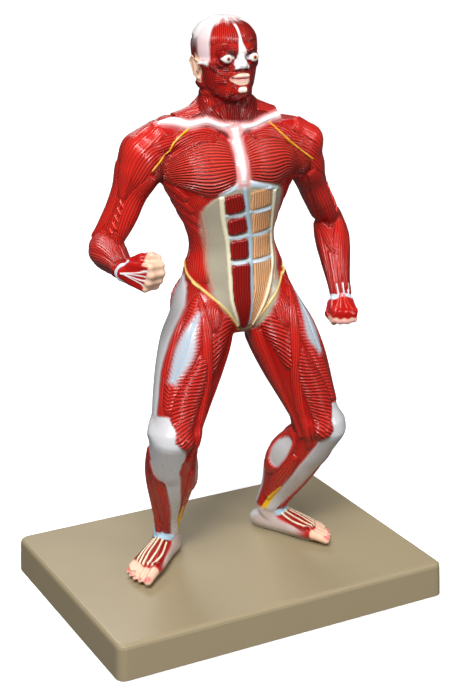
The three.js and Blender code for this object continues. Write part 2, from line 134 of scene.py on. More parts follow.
def spline(knots, steps):
    """Catmull-Rom points through the knots, steps to each stretch."""
    k = np.asarray(knots, float)
    k = np.vstack([2 * k[0] - k[1], k, 2 * k[-1] - k[-2]])
    out = []
    for i in range(1, len(k) - 2):
        for t in np.arange(steps) / steps:
            out.append(0.5 * ((2 * k[i]) + (k[i + 1] - k[i - 1]) * t
                              + (2 * k[i - 1] - 5 * k[i] + 4 * k[i + 1] - k[i + 2]) * t ** 2
                              + (3 * k[i] - k[i - 1] - 3 * k[i + 1] + k[i + 2]) * t ** 3))
    out.append(k[-2])
    return np.array(out)


UP = np.array([0.0, 0.0, 1.0])
HEAD_FRONT, CHEST_FRONT, WAIST_FRONT, PELVIS_FRONT = (facing(a) for a in (-90, -102, -86, -96))
RIGHT_ARM_FRONT, LEFT_ARM_FRONT, RIGHT_FOOT_FRONT, LEFT_FOOT_FRONT = (
    facing(a) for a in (-72, -110, -141, -60))


class Limb:
    """A closed tube of quarter-ellipse rings along the line between two joints."""

    def __init__(self, start, end, fronts, rows, sign, domes=(6, 6)):
        self.start = np.array(JOINT[start], float)
        self.span = np.array(JOINT[end], float) - self.start
        self.length = np.linalg.norm(self.span)
        self.along = unit(self.span)
        self.fronts = np.array(fronts)
        self.sign = sign
        self.table = spline(rows, 8)
        self.ends = rows[0][0], rows[-1][0]
        self.domes = domes

    def axes(self, s):
        place = np.clip(s, 0, 1) * (len(self.fronts) - 1)
        index = np.minimum(place.astype(int), max(len(self.fronts) - 2, 0))
        blend = (place - index)[:, None]
        ahead = self.fronts[np.minimum(index + 1, len(self.fronts) - 1)]
        forward = self.fronts[index] * (1 - blend) + ahead * blend
        forward = forward - (forward @ self.along)[:, None] * self.along
        forward /= np.linalg.norm(forward, axis=1)[:, None]
        return forward, np.cross(self.along, forward) * self.sign

    def chart(self, points):
        """Fraction along the limb, and distances to the front and to the outer side."""
        q = points - self.start
        s = q @ self.span / self.length ** 2
        forward, side = self.axes(s)
        return s, dot(q, forward), dot(q, side)

    def reaches(self, s):
        s = np.clip(s, *self.ends)
        return [np.interp(s, self.table[:, 0], self.table[:, i]) for i in range(1, 5)]

    def field(self, points):
        s, c, d = self.chart(points)
        front, back, outer, inner = self.reaches(s)
        a = np.where(c > 0, front, back)
        b = np.where(d > 0, outer, inner)
        a = np.maximum(a, 0.5)
        over = (np.maximum(self.ends[0] - s, 0) / self.domes[0]
                + np.maximum(s - self.ends[1], 0) / self.domes[1]) * self.length
        ring = np.sqrt((c / a) ** 2 + (d / b) ** 2)
        reach = np.where(ring > 1e-6, np.hypot(c, d) / np.maximum(ring, 1e-6), a)
        return (np.sqrt(ring ** 2 + over ** 2) - 1) * reach

    def at(self, s, c, d):
        """The point at fraction s, c to the front and d to the outer side."""
        forward, side = self.axes(np.array([float(s)]))
        return self.start + s * self.span + c * forward[0] + d * side[0]

    def on_skin(self, s, degrees):
        a = math.radians(degrees)
        front, back, outer, inner = (r[0] for r in self.reaches(np.array([float(s)])))
        across = front if math.cos(a) > 0 else back
        beside = outer if math.sin(a) > 0 else inner
        reach = 1 / math.hypot(math.cos(a) / across, math.sin(a) / beside)
        return self.at(s, reach * math.cos(a), reach * math.sin(a))


# the field joins the limbs in this order
LIMB = {
    "torso": Limb("crotch", "neckBase", [PELVIS_FRONT, WAIST_FRONT, CHEST_FRONT], TORSO_ROWS, 1, (3, 6)),
    "rightGirdle": Limb("neckBase", "rightAcromion", [CHEST_FRONT], GIRDLE_ROWS, 1),
    "leftGirdle": Limb("neckBase", "leftAcromion", [CHEST_FRONT], GIRDLE_ROWS, -1),
    "neck": Limb("neckBase", "skullBase", [CHEST_FRONT, HEAD_FRONT], NECK_ROWS, 1, (3, 3)),
    "head": Limb("skullBase", "crown", [HEAD_FRONT], HEAD_ROWS, 1, (2, 3)),
    "rightUpperArm": Limb("rightShoulder", "rightElbow", [RIGHT_ARM_FRONT], UPPER_ARM_ROWS, 1),
    "leftUpperArm": Limb("leftShoulder", "leftElbow", [LEFT_ARM_FRONT], UPPER_ARM_ROWS, -1),
    "rightForearm": Limb("rightElbow", "rightWrist", [UP], FOREARM_ROWS, 1),
    "leftForearm": Limb("leftElbow", "leftWrist", [UP], FOREARM_ROWS, -1),
    "rightHand": Limb("rightWrist", "rightKnuckles", [UP], RIGHT_HAND_ROWS, 1, (3, 3)),
    "leftHand": Limb("leftWrist", "leftKnuckles", [UP], LEFT_HAND_ROWS, -1, (3, 3)),
    "rightThigh": Limb("rightHip", "rightKnee", [PELVIS_FRONT, RIGHT_FOOT_FRONT], THIGH_ROWS, 1),
    "leftThigh": Limb("leftHip", "leftKnee", [PELVIS_FRONT, LEFT_FOOT_FRONT], THIGH_ROWS, -1),
    "rightShank": Limb("rightKnee", "rightAnkle", [RIGHT_FOOT_FRONT], SHANK_ROWS, 1),
    "leftShank": Limb("leftKnee", "leftAnkle", [LEFT_FOOT_FRONT], SHANK_ROWS, -1),
    "rightFoot": Limb("rightHeel", "rightToes", [UP], FOOT_ROWS, 1, (2, 3)),
    "leftFoot": Limb("leftHeel", "leftToes", [UP], FOOT_ROWS, -1, (2, 3)),
}

# ---- small forms ----------------------------------------------------------------------------
# Capsules in limb coordinates: (fraction, front, outer) at both ends, both radii and perhaps a blend.
# A negative blend carves the capsule out instead.
TOES = [((0.80, 0, -9.5), (1.06, -2.5, -10), 5.6, 4.6), ((0.80, 0, -2), (1.04, -3.5, -2.2), 4.2, 3.2),
        ((0.78, -0.5, 4), (1.0, -3.8, 4.2), 4, 3.1), ((0.74, -1, 9.5), (0.94, -4.2, 10), 3.9, 3),
        ((0.68, -1.5, 14), (0.86, -4.8, 15.2), 3.8, 3)]
RIGHT_FIST = [
    # the back of the hand, then the proximal, middle and end phalanges of four fingers
    *[((0.25, c * 0.7, 1.5), (k, c, 3.6), 4.6, r)
      for c, k, r in ((9.5, .96, 4.6), (3.4, 1.0, 4.8), (-2.8, .94, 4.6), (-8.2, .84, 4.1))],
    *[((k, c, 3.4), (k + .15, c * 0.96, -6.5), r, r * 0.97)
      for c, k, r in ((9.5, .96, 4.6), (3.4, 1.0, 4.8), (-2.8, .94, 4.6), (-8.2, .84, 4.0))],
    *[((k + .15, c * 0.96, -6.5), (0.55, c, -11.0), r * 0.97, r * 0.85)
      for c, k, r in ((9.5, .96, 4.5), (3.4, 1.0, 4.7), (-2.8, .94, 4.5), (-8.2, .84, 3.9))],
    ((0.15, 8, -3), (0.5, 13, -2.5), 5, 5), ((0.5, 13, -2.5), (0.82, 16, -4.5), 4.9, 4.4),
    ((0.82, 16, -4.5), (0.98, 14.5, -8), 4.4, 4.0)]
LEFT_FINGERS = (-9.4, .78, 4.4), (-3.4, .84, 4.8), (2.9, .84, 4.6), (8.6, .78, 4.0)
LEFT_FIST = [
    *[((0.2, 0.5, d * 0.75), (k, 3.0, d), 4.8, r) for d, k, r in LEFT_FINGERS],
    *[((k, 2.8, d), (k + .13, -3.5, d * 0.97), r, r * 0.94) for d, k, r in LEFT_FINGERS],
    *[((k + .13, -3.5, d * 0.97), (0.55, -6.5, d * 0.94), r * 0.94, r * 0.85) for d, k, r in LEFT_FINGERS],
    ((0.15, -2, -9), (0.6, -4, -12), 4.6, 4.4), ((0.6, -4, -12), (0.84, -8, -8), 4.2, 3.8)]
SKULL = [
    # brow, nose bridge, nose, tip, wings
    ((0.62, 27.5, -10), (0.62, 27.5, 10), 3.6, 3.6, 3), ((0.62, 27.8, 0), (0.54, 28.8, 0), 2.6, 2.8, 2.5),
    ((0.54, 28.8, 0), (0.465, 31.4, 0), 2.8, 3.5, 2), ((0.45, 32.0, 0), (0.44, 31.4, 0), 3.9, 3.9, 2),
    ((0.42, 29.6, -4.4), (0.42, 29.6, 4.4), 3.0, 3.0, 2),
    # lips, chin, jaw, cheekbones
    ((0.315, 28.4, -5), (0.315, 28.4, 5), 3.4, 3.4, 2), ((0.25, 28.4, -4.5), (0.25, 28.4, 4.5), 3.4, 3.4, 2),
    ((0.14, 27.5, -3), (0.14, 27.5, 3), 5.2, 5.2, 3),
    *[((0.07, 22, k * 9), (0.22, -2, k * 20), 4, 4.4, 4) for k in (-1, 1)],
    *[((0.47, 22, k * 15), (0.44, 5, k * 24), 3.6, 3, 3) for k in (-1, 1)]]
EYE_SOCKETS = [((0.535, 30.5, k * 11), (0.525, 27.5, k * 15), 4.4, 3.2, -3) for k in (-1, 1)]
EYE_FRACTION, EYE_FRONT, EYE_OUTER, EYE_RADIUS = 0.53, 25.0, 11.8, 6.2
EYES = [((EYE_FRACTION, EYE_FRONT, k * EYE_OUTER),) * 2 + (EYE_RADIUS, EYE_RADIUS, 0) for k in (-1, 1)]
EARS = [
    blob for k in (-1, 1) for blob in (
        ((0.25, 1.5, k * 23.5), (0.30, -1.5, k * 26), 2.1, 1.9, 1.2),
        ((0.30, -1.5, k * 26), (0.46, -5.5, k * 28), 1.6, 1.6, 1),
        ((0.46, -5.5, k * 28), (0.525, -1.5, k * 28), 1.6, 1.6, 1),
        ((0.525, -1.5, k * 28), (0.48, 3.2, k * 26.8), 1.6, 1.3, 1),
        ((0.31, 0, k * 25), (0.46, -1.5, k * 26), 2.4, 2.6, 1),
        ((0.39, 4.0, k * 25.8), (0.34, 4.0, k * 25.6), 1.3, 1.3, 1))]
KNEE = [((-0.03, 7, 0), (0.2, 3.8, 0), 14.5, 13.8)]
TRAPEZIUS = [((0.6, -7, k * 10), (0.10, -5, k * 38), 10, 8) for k in (-1, 1)]
ACROMION = [((0.35, -2, 8), (1.0, -2, 3), 12, 13), ((1.0, -1, 2), (1.28, 0, -3), 13, 13.5)]

BLOBS = {}


def add_blobs(limb, rows, blend):
    """Capsules of a limb in figure coordinates, with this blend unless their row has its own."""
    BLOBS[limb] = [(LIMB[limb].at(*a), LIMB[limb].at(*b), ra, rb, k[0] if k else blend)
                   for a, b, ra, rb, *k in rows]


def capsule(points, a, b, ra, rb):
    span = b - a
    t = np.clip((points - a) @ span / max(span @ span, 1e-9), 0, 1)
    return np.linalg.norm(points - a - t[:, None] * span, axis=1) - (ra + (rb - ra) * t)


def soft_min(a, b, k):
    if k <= 0:
        return np.minimum(a, b)
    h = np.maximum(k - np.abs(a - b), 0)
    return np.minimum(a, b) - h * h / (4 * k)


add_blobs("head", SKULL + EYE_SOCKETS + EYES + EARS, 2)
add_blobs("neck", TRAPEZIUS, 9)
for limb, rows, blend in (("Shank", KNEE, 10), ("Girdle", ACROMION, 7), ("Foot", TOES, 1.2)):
    add_blobs("right" + limb, rows, blend)
    add_blobs("left" + limb, rows, blend)
add_blobs("rightHand", RIGHT_FIST, 1.6)
add_blobs("leftHand", LEFT_FIST, 1.6)
# how softly a limb joins the limbs before it, in figure units
JOIN = {
    "head": 4, "rightShank": 13, "leftShank": 13, "rightForearm": 3, "leftForearm": 3, "rightHand": 3,
    "leftHand": 3, "rightFoot": 5, "leftFoot": 5}
PLAIN_JOIN = 8


def field(points, limbs):
    """Signed distance, more or less, from the joined skin of these limbs."""
    value = np.full(len(points), 1e3)
    for name in limbs:
        value = soft_min(value, LIMB[name].field(points), JOIN.get(name, PLAIN_JOIN))
        for a, b, ra, rb, k in BLOBS.get(name, []):
            near = capsule(points, a, b, ra, rb)
            value = -soft_min(-value, near, -k) if k < 0 else soft_min(value, near, k)
    return value


def slope(points, limbs, step=0.4):
    """Unit outward direction of the field."""
    out = np.zeros_like(points)
    for corner in ((1, 1, 1), (1, -1, -1), (-1, 1, -1), (-1, -1, 1)):
        corner = np.array(corner, float)
        out += corner * field(points + step * corner, limbs)[:, None]
    return out / np.maximum(np.linalg.norm(out, axis=1), 1e-9)[:, None]


# ---- the castings' seams ----------------------------------------------------------------------
chest_side = -np.cross(CHEST_FRONT, UP)
NECK_SEAM = (-2.0, 0, 394)
RIGHT_SHOULDER_SEAM, LEFT_SHOULDER_SEAM, SHOULDER_SEAM_HEIGHT = -57, 56, 350
BESIDE_TRUNK = 76
BELOW_ARMPIT = 318
HAIRLINE = -0.5  # each casting tucks this far into its neighbour


def shoulder_seam(across):
    point = np.array(JOINT["neckBase"], float) + across * chest_side
    point[2] = SHOULDER_SEAM_HEIGHT
    return point, unit(np.sign(across) * 0.93 * chest_side + 0.37 * UP)


# for each seam a point on its plane and the direction away from the torso
SEAM = {
    "neck": (np.array(NECK_SEAM), unit(np.subtract(JOINT["skullBase"], JOINT["neckBase"]))),
    "rightShoulder": shoulder_seam(RIGHT_SHOULDER_SEAM),
    "leftShoulder": shoulder_seam(LEFT_SHOULDER_SEAM),
    "rightHip": (np.array(JOINT["rightHip"], float), unit((-0.83, 0, -0.56))),
    "leftHip": (np.array(JOINT["leftHip"], float), unit((0.83, 0, -0.56))),
}


def past(name, points):
    """Distance beyond a seam's plane, away from the torso."""
    point, out = SEAM[name]
    return (points - point) @ out


def torso_region(points):
    return np.max([past(name, points) + HAIRLINE for name in SEAM], axis=0)


def arm_region(side):
    sign = -1 if side == "right" else 1

    def region(points):
        beside = np.maximum(BESIDE_TRUNK - sign * points[:, 0], points[:, 2] - BELOW_ARMPIT)
        outside = np.minimum(-past(f"{side}Shoulder", points), beside)
        return np.maximum(outside, past("neck", points)) + HAIRLINE
    return region


# for each casting the limbs of its field, what keeps it inside its seams, its own limbs and the voxel size
PIECES = {
    "head_and_neck": (["head", "neck", "torso", "rightGirdle", "leftGirdle"],
                      lambda p: HAIRLINE - past("neck", p), ("head", "neck"), 0.46),
    "torso": (["torso", "rightGirdle", "leftGirdle", "neck", "rightUpperArm", "leftUpperArm", "rightThigh",
               "leftThigh"], torso_region, ("torso", "rightGirdle", "leftGirdle", "neck"), 0.8),
}
for side in ("right", "left"):
    PIECES[f"{side}_arm"] = ([side + part for part in ("UpperArm", "Girdle", "Forearm", "Hand")] + ["torso"],
                             arm_region(side), (side + "UpperArm", side + "Forearm", side + "Hand"), 0.52)
    PIECES[f"{side}_leg"] = ([side + part for part in ("Thigh", "Shank", "Foot")] + ["torso"],
                             lambda p, side=side: HAIRLINE - past(f"{side}Hip", p),
                             (side + "Thigh", side + "Shank", side + "Foot"), 0.7)


# ==== paint ================================================================================
# ---- colours (display values) -----------------------------------------------------------------
RED = (0.84, 0.145, 0.10)
BRIGHT = (0.88, 0.22, 0.16)
DEEP = (0.70, 0.06, 0.035)
MAROON = (0.50, 0.02, 0.01)
SHADED_RED = (0.60, 0.045, 0.025)
CREAM = (0.68, 0.65, 0.57)
BONE = (0.95, 0.94, 0.935)
SINEW = (0.80, 0.80, 0.81)
BLUE = (0.66, 0.79, 0.87)
PALE_BLUE = (0.80, 0.87, 0.91)
YELLOW = (0.95, 0.76, 0.13)
SOFT_YELLOW = (0.90, 0.79, 0.45)
IVORY = (0.94, 0.92, 0.79)
PINK = (0.93, 0.66, 0.66)
FLESH = (0.93, 0.77, 0.66)
ORANGE = (0.99, 0.76, 0.54)


def linear(colour):
    c = np.asarray(colour, float)
    return np.where(c <= 0.04045, c / 12.92, ((c + 0.055) / 1.055) ** 2.4)


class Strap:
    """A band that follows the skin through knots given as (limb, fraction, degrees)."""

    def __init__(self, path, widths, lift=2.0, fibres=0, tint=RED, fade=None, skew=None, feather=False,
                 pitch=2.4, round_end=None, soft=0.6, cord=False, strength=1.0, corner=0.1, dome=1.0,
                 base=0.0):
        on_skin = [LIMB[limb].on_skin(s, degrees) for limb, s, degrees in path]
        points = spline(on_skin, max(3, 14 // (len(path) - 1)))
        for _ in range(4):
            points -= np.clip(field(points, LIMB), -3, 3)[:, None] * slope(points, LIMB)
        self.points = points
        self.normals = slope(points, LIMB)
        steps = np.linalg.norm(np.diff(points, axis=0), axis=1)
        self.run = np.concatenate([[0], np.cumsum(steps)])
        known = np.array(widths, float)[:, None]
        dense = (spline(known, 6) if len(known) > 2 else known)[:, 0]
        self.width = np.interp(np.linspace(0, 1, len(points)), np.linspace(0, 1, len(dense)), dense)
        self.reach = max(widths)
        self.lift, self.fibres, self.tint, self.fade = lift, fibres, linear(tint), fade
        self.skew, self.feather, self.pitch = skew, feather, pitch
        self.round_end = min(widths[0], widths[-1]) if round_end is None else round_end
        self.soft, self.cord, self.strength = soft, cord, strength
        self.corner, self.dome, self.base = corner, dome, base

    def measure(self, points):
        """Rows near the strap, then distance along, signed distance across, and the width there."""
        margin = self.reach + 2
        low, high = self.points.min(0) - margin, self.points.max(0) + margin
        rows = np.flatnonzero(np.all((points > low) & (points < high), axis=1))
        if not len(rows):
            return None
        p = points[rows]
        best = np.full(len(p), 1e9)
        side = np.zeros(len(p))
        along = np.zeros(len(p))
        knot = np.zeros(len(p))
        count = len(self.points) - 1
        for i in range(count):
            a, b = self.points[i], self.points[i + 1]
            span = b - a
            length = np.linalg.norm(span)
            t = (p - a) @ span / length ** 2
            t = np.clip(t, -9 if i == 0 else 0, 9 if i == count - 1 else 1)
            delta = p - a - t[:, None] * span
            distance = dot(delta, delta)
            closer = distance < best
            across = np.cross(span, self.normals[i] + self.normals[i + 1])
            best[closer] = distance[closer]
            side[closer] = (delta @ across)[closer]
            along[closer] = (self.run[i] + t * length)[closer]
            knot[closer] = (i + t)[closer]
        across = np.sign(side) * np.sqrt(best)
        index = np.arange(count + 1)
        return rows, along, across, np.maximum(np.interp(knot, index, self.width), 0.2)

    def end_fade(self, along):
        """A rounded profile from nothing at both ends to one."""
        inside = np.minimum(along, self.run[-1] - along)
        t = np.clip(inside / max(self.round_end, 0.3), 0, 1)
        return np.where(inside > 0, np.sqrt(np.clip(t * (2 - t), 0, 1)), 0.0)

    def depth(self, along, across, width):
        """Distance inside the outline, with rounded corners."""
        beside = width - np.abs(across)
        end = np.minimum(along, self.run[-1] - along) + self.soft
        corner = np.minimum(self.corner, width)
        return np.where((beside < corner) & (end < corner),
                        corner - np.hypot(corner - beside, corner - end), np.minimum(beside, end))

    def pattern(self, along, across, u):
        """Count of fibres passed: along the strap, slanting over it, or feathered to both sides."""
        if self.skew is None:
            return u * self.fibres / 2
        a = math.radians(self.skew)
        sideways = np.abs(across) if self.feather else across
        return (sideways * math.cos(a) + along * math.sin(a)) / self.pitch


class Canvas:
    """Height, colour, fibre pattern and painted crease shade at every point of a casting's skin."""

    def __init__(self, points, normals):
        self.points, self.normals = points, normals
        n = len(points)
        self.height = np.zeros(n)
        self.colour = np.tile(linear(DEEP), (n, 1))
        self.top = np.zeros(n)
        self.fibre = np.zeros(n)
        self.amp = np.zeros(n)
        self.crease = np.ones(n)

    def muscle(self, strap):
        found = strap.measure(self.points)
        if found is None:
            return
        rows, along, across, width = found
        u = across / width
        profile = np.clip(1 - u * u, 0, 1) ** 0.5 * strap.end_fade(along)
        rise = profile * strap.lift
        wins = rise > self.top[rows]
        rows, profile, rise = rows[wins], profile[wins], rise[wins]
        along, across, u = along[wins], across[wins], u[wins]
        self.top[rows] = rise
        self.height[rows] = rise
        colour = np.tile(strap.tint, (len(rows), 1))
        if strap.fade:
            far_tint, start, end = strap.fade
            weight = smooth(start, end, along / strap.run[-1])
            colour += weight[:, None] * (linear(far_tint) - colour)
        self.colour[rows] = colour
        # painted shade: each muscle's colour darkens towards its edges, into the creases between muscles
        self.crease[rows] = np.clip(profile * 1.5, 0, 1)
        self.fibre[rows] = strap.pattern(along, across, u)
        strength = strap.strength if strap.fibres or strap.skew is not None else 0
        self.amp[rows] = strength * smooth(0.1, 0.7, profile)

    def coat(self, strap):
        """Paint laid over the muscles, with or without a raised cord under it."""
        found = strap.measure(self.points)
        if found is None:
            return
        rows, along, across, width = found
        inside = strap.depth(along, across, width)
        mask = smooth(-strap.soft, strap.soft, inside)
        hit = mask > 0
        rows, along, across, width = rows[hit], along[hit], across[hit], width[hit]
        mask, inside = mask[hit], inside[hit]
        u = np.clip(across / width, -1, 1)
        if strap.feather:
            wave = 0.5 + 0.5 * np.cos(2 * np.pi * strap.pattern(along, across, u))
            mask = mask * wave ** 3
        keep = 1 - mask
        self.colour[rows] += mask[:, None] * (strap.tint - self.colour[rows])
        self.crease[rows] = np.maximum(self.crease[rows], mask)
        if strap.cord:
            self.height[rows] += strap.lift * np.sqrt(1 - u * u) * strap.end_fade(along)
            self.amp[rows] *= keep
        elif strap.lift:
            swell = smooth(-strap.soft, strap.dome, inside)
            self.height[rows] = self.height[rows] * keep + (strap.base + strap.lift * swell) * mask
            self.amp[rows] *= keep
            if strap.fibres:
                self.fibre[rows] = np.where(mask > 0.5, u * strap.fibres / 2, self.fibre[rows])
                self.amp[rows] = np.maximum(self.amp[rows], strap.strength * smooth(0.6, 1, mask))

    def zone(self, mask, tint, flatten=None):
        """Smooth paint over an area, levelled to a height when one is given."""
        mask = np.clip(mask, 0, 1)
        self.colour += mask[:, None] * (linear(tint) - self.colour)
        self.crease = np.maximum(self.crease, mask)
        self.amp *= 1 - mask
        if flatten is not None:
            self.height = self.height * (1 - mask) + flatten * mask


# ---- what is painted where --------------------------------------------------------------------
LAYERS = []


def knots(path):
    """Knots from text: limb, fraction, degrees; one without a limb is on the last limb named."""
    found = []
    for word in path.split(", "):
        *name, s, degrees = word.split()
        limb = name[0] if name else limb
        found.append((limb, float(s), float(degrees)))
    return found


def one(method, path, widths, **options):
    LAYERS.append((method, knots(path), widths, options))


def both(method, path, widths, **options):
    """The same strap on both sides, the slant of its fibres mirrored."""
    for side, sign in (("right", -1), ("left", 1)):
        places = [(limb, s, sign * a) if limb in ("torso", "neck", "head") else (side + limb, s, a)
                  for limb, s, a in knots(path)]
        own = dict(options)
        if side == "right" and "skew" in own and not own.get("feather"):
            own["skew"] = 180 - own["skew"]
        LAYERS.append((method, places, widths, own))


def muscle(path, widths, lift, fibres=0, **options):
    one("muscle", path, widths, lift=lift, fibres=fibres, **options)


def muscles(path, widths, lift, fibres=0, **options):
    both("muscle", path, widths, lift=lift, fibres=fibres, **options)


def coat(path, widths, tint, **options):
    one("coat", path, widths, tint=tint, **options)


def coats(path, widths, tint, **options):
    both("coat", path, widths, tint=tint, **options)


def cord(path, widths, tint, lift, soft):
    one("coat", path, widths, tint=tint, lift=lift, soft=soft, cord=True)


def cords(path, widths, tint, lift, soft):
    both("coat", path, widths, tint=tint, lift=lift, soft=soft, cord=True)


def trunk_muscles():
    muscles("torso .885 10, .885 40, .875 62, UpperArm .1 8", [19, 26, 19, 6], 3.4, 19,
            round_end=6, strength=1.6, tint=BRIGHT)
    muscles("Girdle .75 0, UpperArm -.05 34, .2 44, .46 50", [8, 12, 10, 3], 2.6, 10)
    muscles("Girdle .98 60, UpperArm .05 82, .28 74, .48 58", [10, 14, 11, 3], 2.8, 10, strength=.5)
    muscles("Girdle .8 140, UpperArm .05 130, .28 105, .48 68", [9, 13, 10, 3], 2.6, 9)
    muscles("head .12 148, neck .55 128, Girdle .3 78, .62 85, .98 95", [5, 8, 10, 8, 5], 2.2, 9)
    muscles("torso .995 36, Girdle .5 14, .9 -16, UpperArm .04 4", [7, 9, 9, 5], 2.7, 9)
    muscles("neck .95 34, .5 24, torso 1.01 7", [4.5, 4, 1.5], 1.2, 5, tint=DEEP)
    muscles("torso .97 177, .98 150, Girdle .8 130", [15, 12, 5], 2, 12)
    muscles("torso .6 178, .78 165, .93 138", [4, 11, 5], 2.2, 9)
    muscles("torso .28 168, .48 142, .7 116, UpperArm .08 -100", [18, 20, 16, 7], 2.4, 16)
    muscles("torso .84 150, .86 126, UpperArm -.02 165", [9, 9, 5], 2.6, 8)
    for k in range(4):
        muscles(f"torso {.52 + .065 * k} {64 + 2 * k}, {.575 + .065 * k} 80, {.65 + .055 * k} 100",
                [3.6, 6, 6], 1.9, 5, strength=.6)
    muscles("torso .6 86, .44 80, .3 74", [12, 16, 12], 1.6, 14, strength=.7)
    muscles("torso .74 62, .55 60, .34 58", [9, 13, 12], 1.3, 12, strength=.6)
    muscles("torso .6 120, .42 108, .34 100", [10, 14, 10], 1.5, 10, strength=.7)


def neck_muscles():
    muscles("head .2 112, neck .75 82, .3 34, torso 1 8", [4, 5.5, 4.5, 2.5], 2.6, 6, tint=SHADED_RED)
    muscles("neck 1 8, .5 8, torso 1.01 4", [4.5, 4, 2.5], 1.4, 4, tint=SHADED_RED)
    muscles("head .12 118, neck .6 104, .25 80, Girdle .3 30", [3, 5, 7, 6], 1.4, 9, tint=SHADED_RED)
    muscles("neck .9 60, .35 62, Girdle .2 10", [4, 5, 5], 1, 6, tint=SHADED_RED)
    muscles("head .2 160, neck .7 150, .1 150", [7, 8, 9], 1.8, 9)


def hip_and_thigh_muscles():
    muscles("torso .27 172, Thigh -.02 155, .14 122", [12, 20, 9], 5.5, 15)
    muscles("torso .35 112, Thigh -.04 108, .1 100", [12, 12, 6], 2.5, 10)
    muscles("torso .3 72, Thigh .07 62, .26 70", [5, 8, 4], 2.6, 9)
    muscles("torso .19 46, Thigh .09 4, .24 -14", [6, 9, 5], 1.8, 9)
    muscles("Thigh .02 42, .25 24, .45 20, .68 20, .86 12", [4, 10, 11, 8, 4], 3.2,
            feather=True, skew=62, pitch=2.6)
    muscles("Thigh .08 60, .35 56, .6 50, .9 30", [5, 10, 11, 6], 2.6, 10, strength=.7)
    muscles("Thigh .42 -12, .58 -21, .76 -20, .9 -30, Shank 0 -48", [3, 9.5, 12.5, 11, 7], 3.6,
            skew=58, pitch=2.7, strength=1.3, round_end=9)
    muscles("Thigh .01 44, .19 10, .38 -14, .6 -46, .82 -76, 1 -95, Shank .12 -74",
            [3, 4.5, 5, 4.8, 4.6, 4.2, 3], 3, 6, strength=.7)
    muscles("torso .05 22, Thigh .13 -38, .32 -32, .52 -44", [4, 9, 10, 4], 2.6,
            skew=35, pitch=2.8, strength=1.4)
    muscles("torso .02 40, Thigh .2 -72, .45 -86, .75 -106, 1.02 -122", [6, 9, 8, 5, 3], 2.2, 6, strength=.5)
    muscles("Thigh .12 152, .5 146, .97 124", [8, 11, 5], 3, 8)
    muscles("Thigh .12 -170, .5 -165, .97 -146", [8, 10, 4], 3, 8)
    muscles("Thigh .2 -128, .6 -130, .99 -132", [8, 9, 5], 2, 7)


def lower_leg_muscles():
    muscles("Thigh .92 4, Shank .05 -2", [9, 8], 2.6, tint=SINEW, round_end=8)
    muscles("Shank .03 0, .2 -4", [5, 3.5], 2.6, tint=SINEW)
    muscles("Shank .13 34, .35 14, .6 -12, .88 -26", [5, 8, 7, 3], 2.6, 8, strength=.8)
    muscles("Shank .1 62, .4 48, .7 30, .94 12", [6, 8, 6.5, 3.5], 2.2, 7, strength=.8)
    muscles("Shank .06 98, .45 88, .75 88, .98 108", [6, 8, 6, 3], 2.2, 7, strength=.6)
    muscles("Thigh .97 152, Shank .2 140, .42 140, .58 150", [6, 11, 11, 5], 4, 8, strength=.7)
    muscles("Thigh .97 -150, Shank .2 -138, .44 -140, .6 -150", [6, 12, 12.5, 5], 4.4, 8, strength=.7)
    muscles("Shank .25 -92, .5 -102, .85 -122", [4, 9, 4], 2.6, 7, strength=.7)
    muscles("Shank .3 112, .55 118, .85 135", [5, 8, 4], 2.2, 7)
    muscles("Shank .58 178, .8 180, 1.04 180", [7, 4, 5], 2.2, tint=SINEW)
    muscles("Foot .42 0, .6 8, .82 10", [9, 13, 15], 1.2, 9, tint=DEEP, round_end=2)


def arm_muscles():
    muscles("UpperArm .12 8, .35 18, .6 16, .85 8, Forearm .1 -24", [5, 9.5, 10, 7, 3], 3.2, 10, strength=.8)
    muscles("UpperArm .08 -34, .4 -42, .9 -50", [5, 7, 5], 2, 6)
    muscles("UpperArm .4 64, .62 58, .92 42", [4, 6, 5], 2.4, 6)
    for k in range(5):
        s, turn = .50 + .075 * k, 52 - 3 * k
        muscles(f"UpperArm {s - .02} {turn + 12}, {s + .035} {turn - 14}", [1.5, 1.1], 3.3, tint=BRIGHT)
    muscles("UpperArm .16 128, .45 106, .75 100, .97 120", [8, 10, 8, 3], 3, 9, strength=.7)
    muscles("UpperArm .08 -150, .45 -150, .8 -165", [8, 11, 7], 3, 9)
    muscles("UpperArm .45 -95, .9 -100", [6, 6], 2, 6)
    muscles("UpperArm .76 66, Forearm .1 36, .4 16, .75 5, .98 0", [4, 7.5, 7, 4, 2], 2.4, 8, strength=.8)
    muscles("UpperArm .9 92, Forearm .15 68, .45 48, .92 34", [4, 7, 6.5, 3], 2.2, 7, strength=.8)
    muscles("Forearm 0 112, .3 98, .6 84, .96 72", [5, 7, 6, 3.5], 2.2, 7, strength=.8)
    muscles("Forearm -.02 155, .35 138, .95 118", [5, 7, 3.5], 2.2, 7)
    muscles("Forearm 0 -160, .35 -165, .95 175", [6, 7, 3.5], 2, 6)
    muscles("Forearm 0 -112, .35 -118, .95 -130", [6, 7.5, 3.5], 2.2, 7)
    muscles("UpperArm .97 -70, Forearm .3 -72, .95 -78", [5, 7, 3], 2.2, 7)
    muscles("Forearm .05 -62, .28 -34, .5 -14", [5, 5, 2], 2, 5)
    muscles("Forearm .45 -32, .97 -38", [3.5, 3], 1.6, 3)


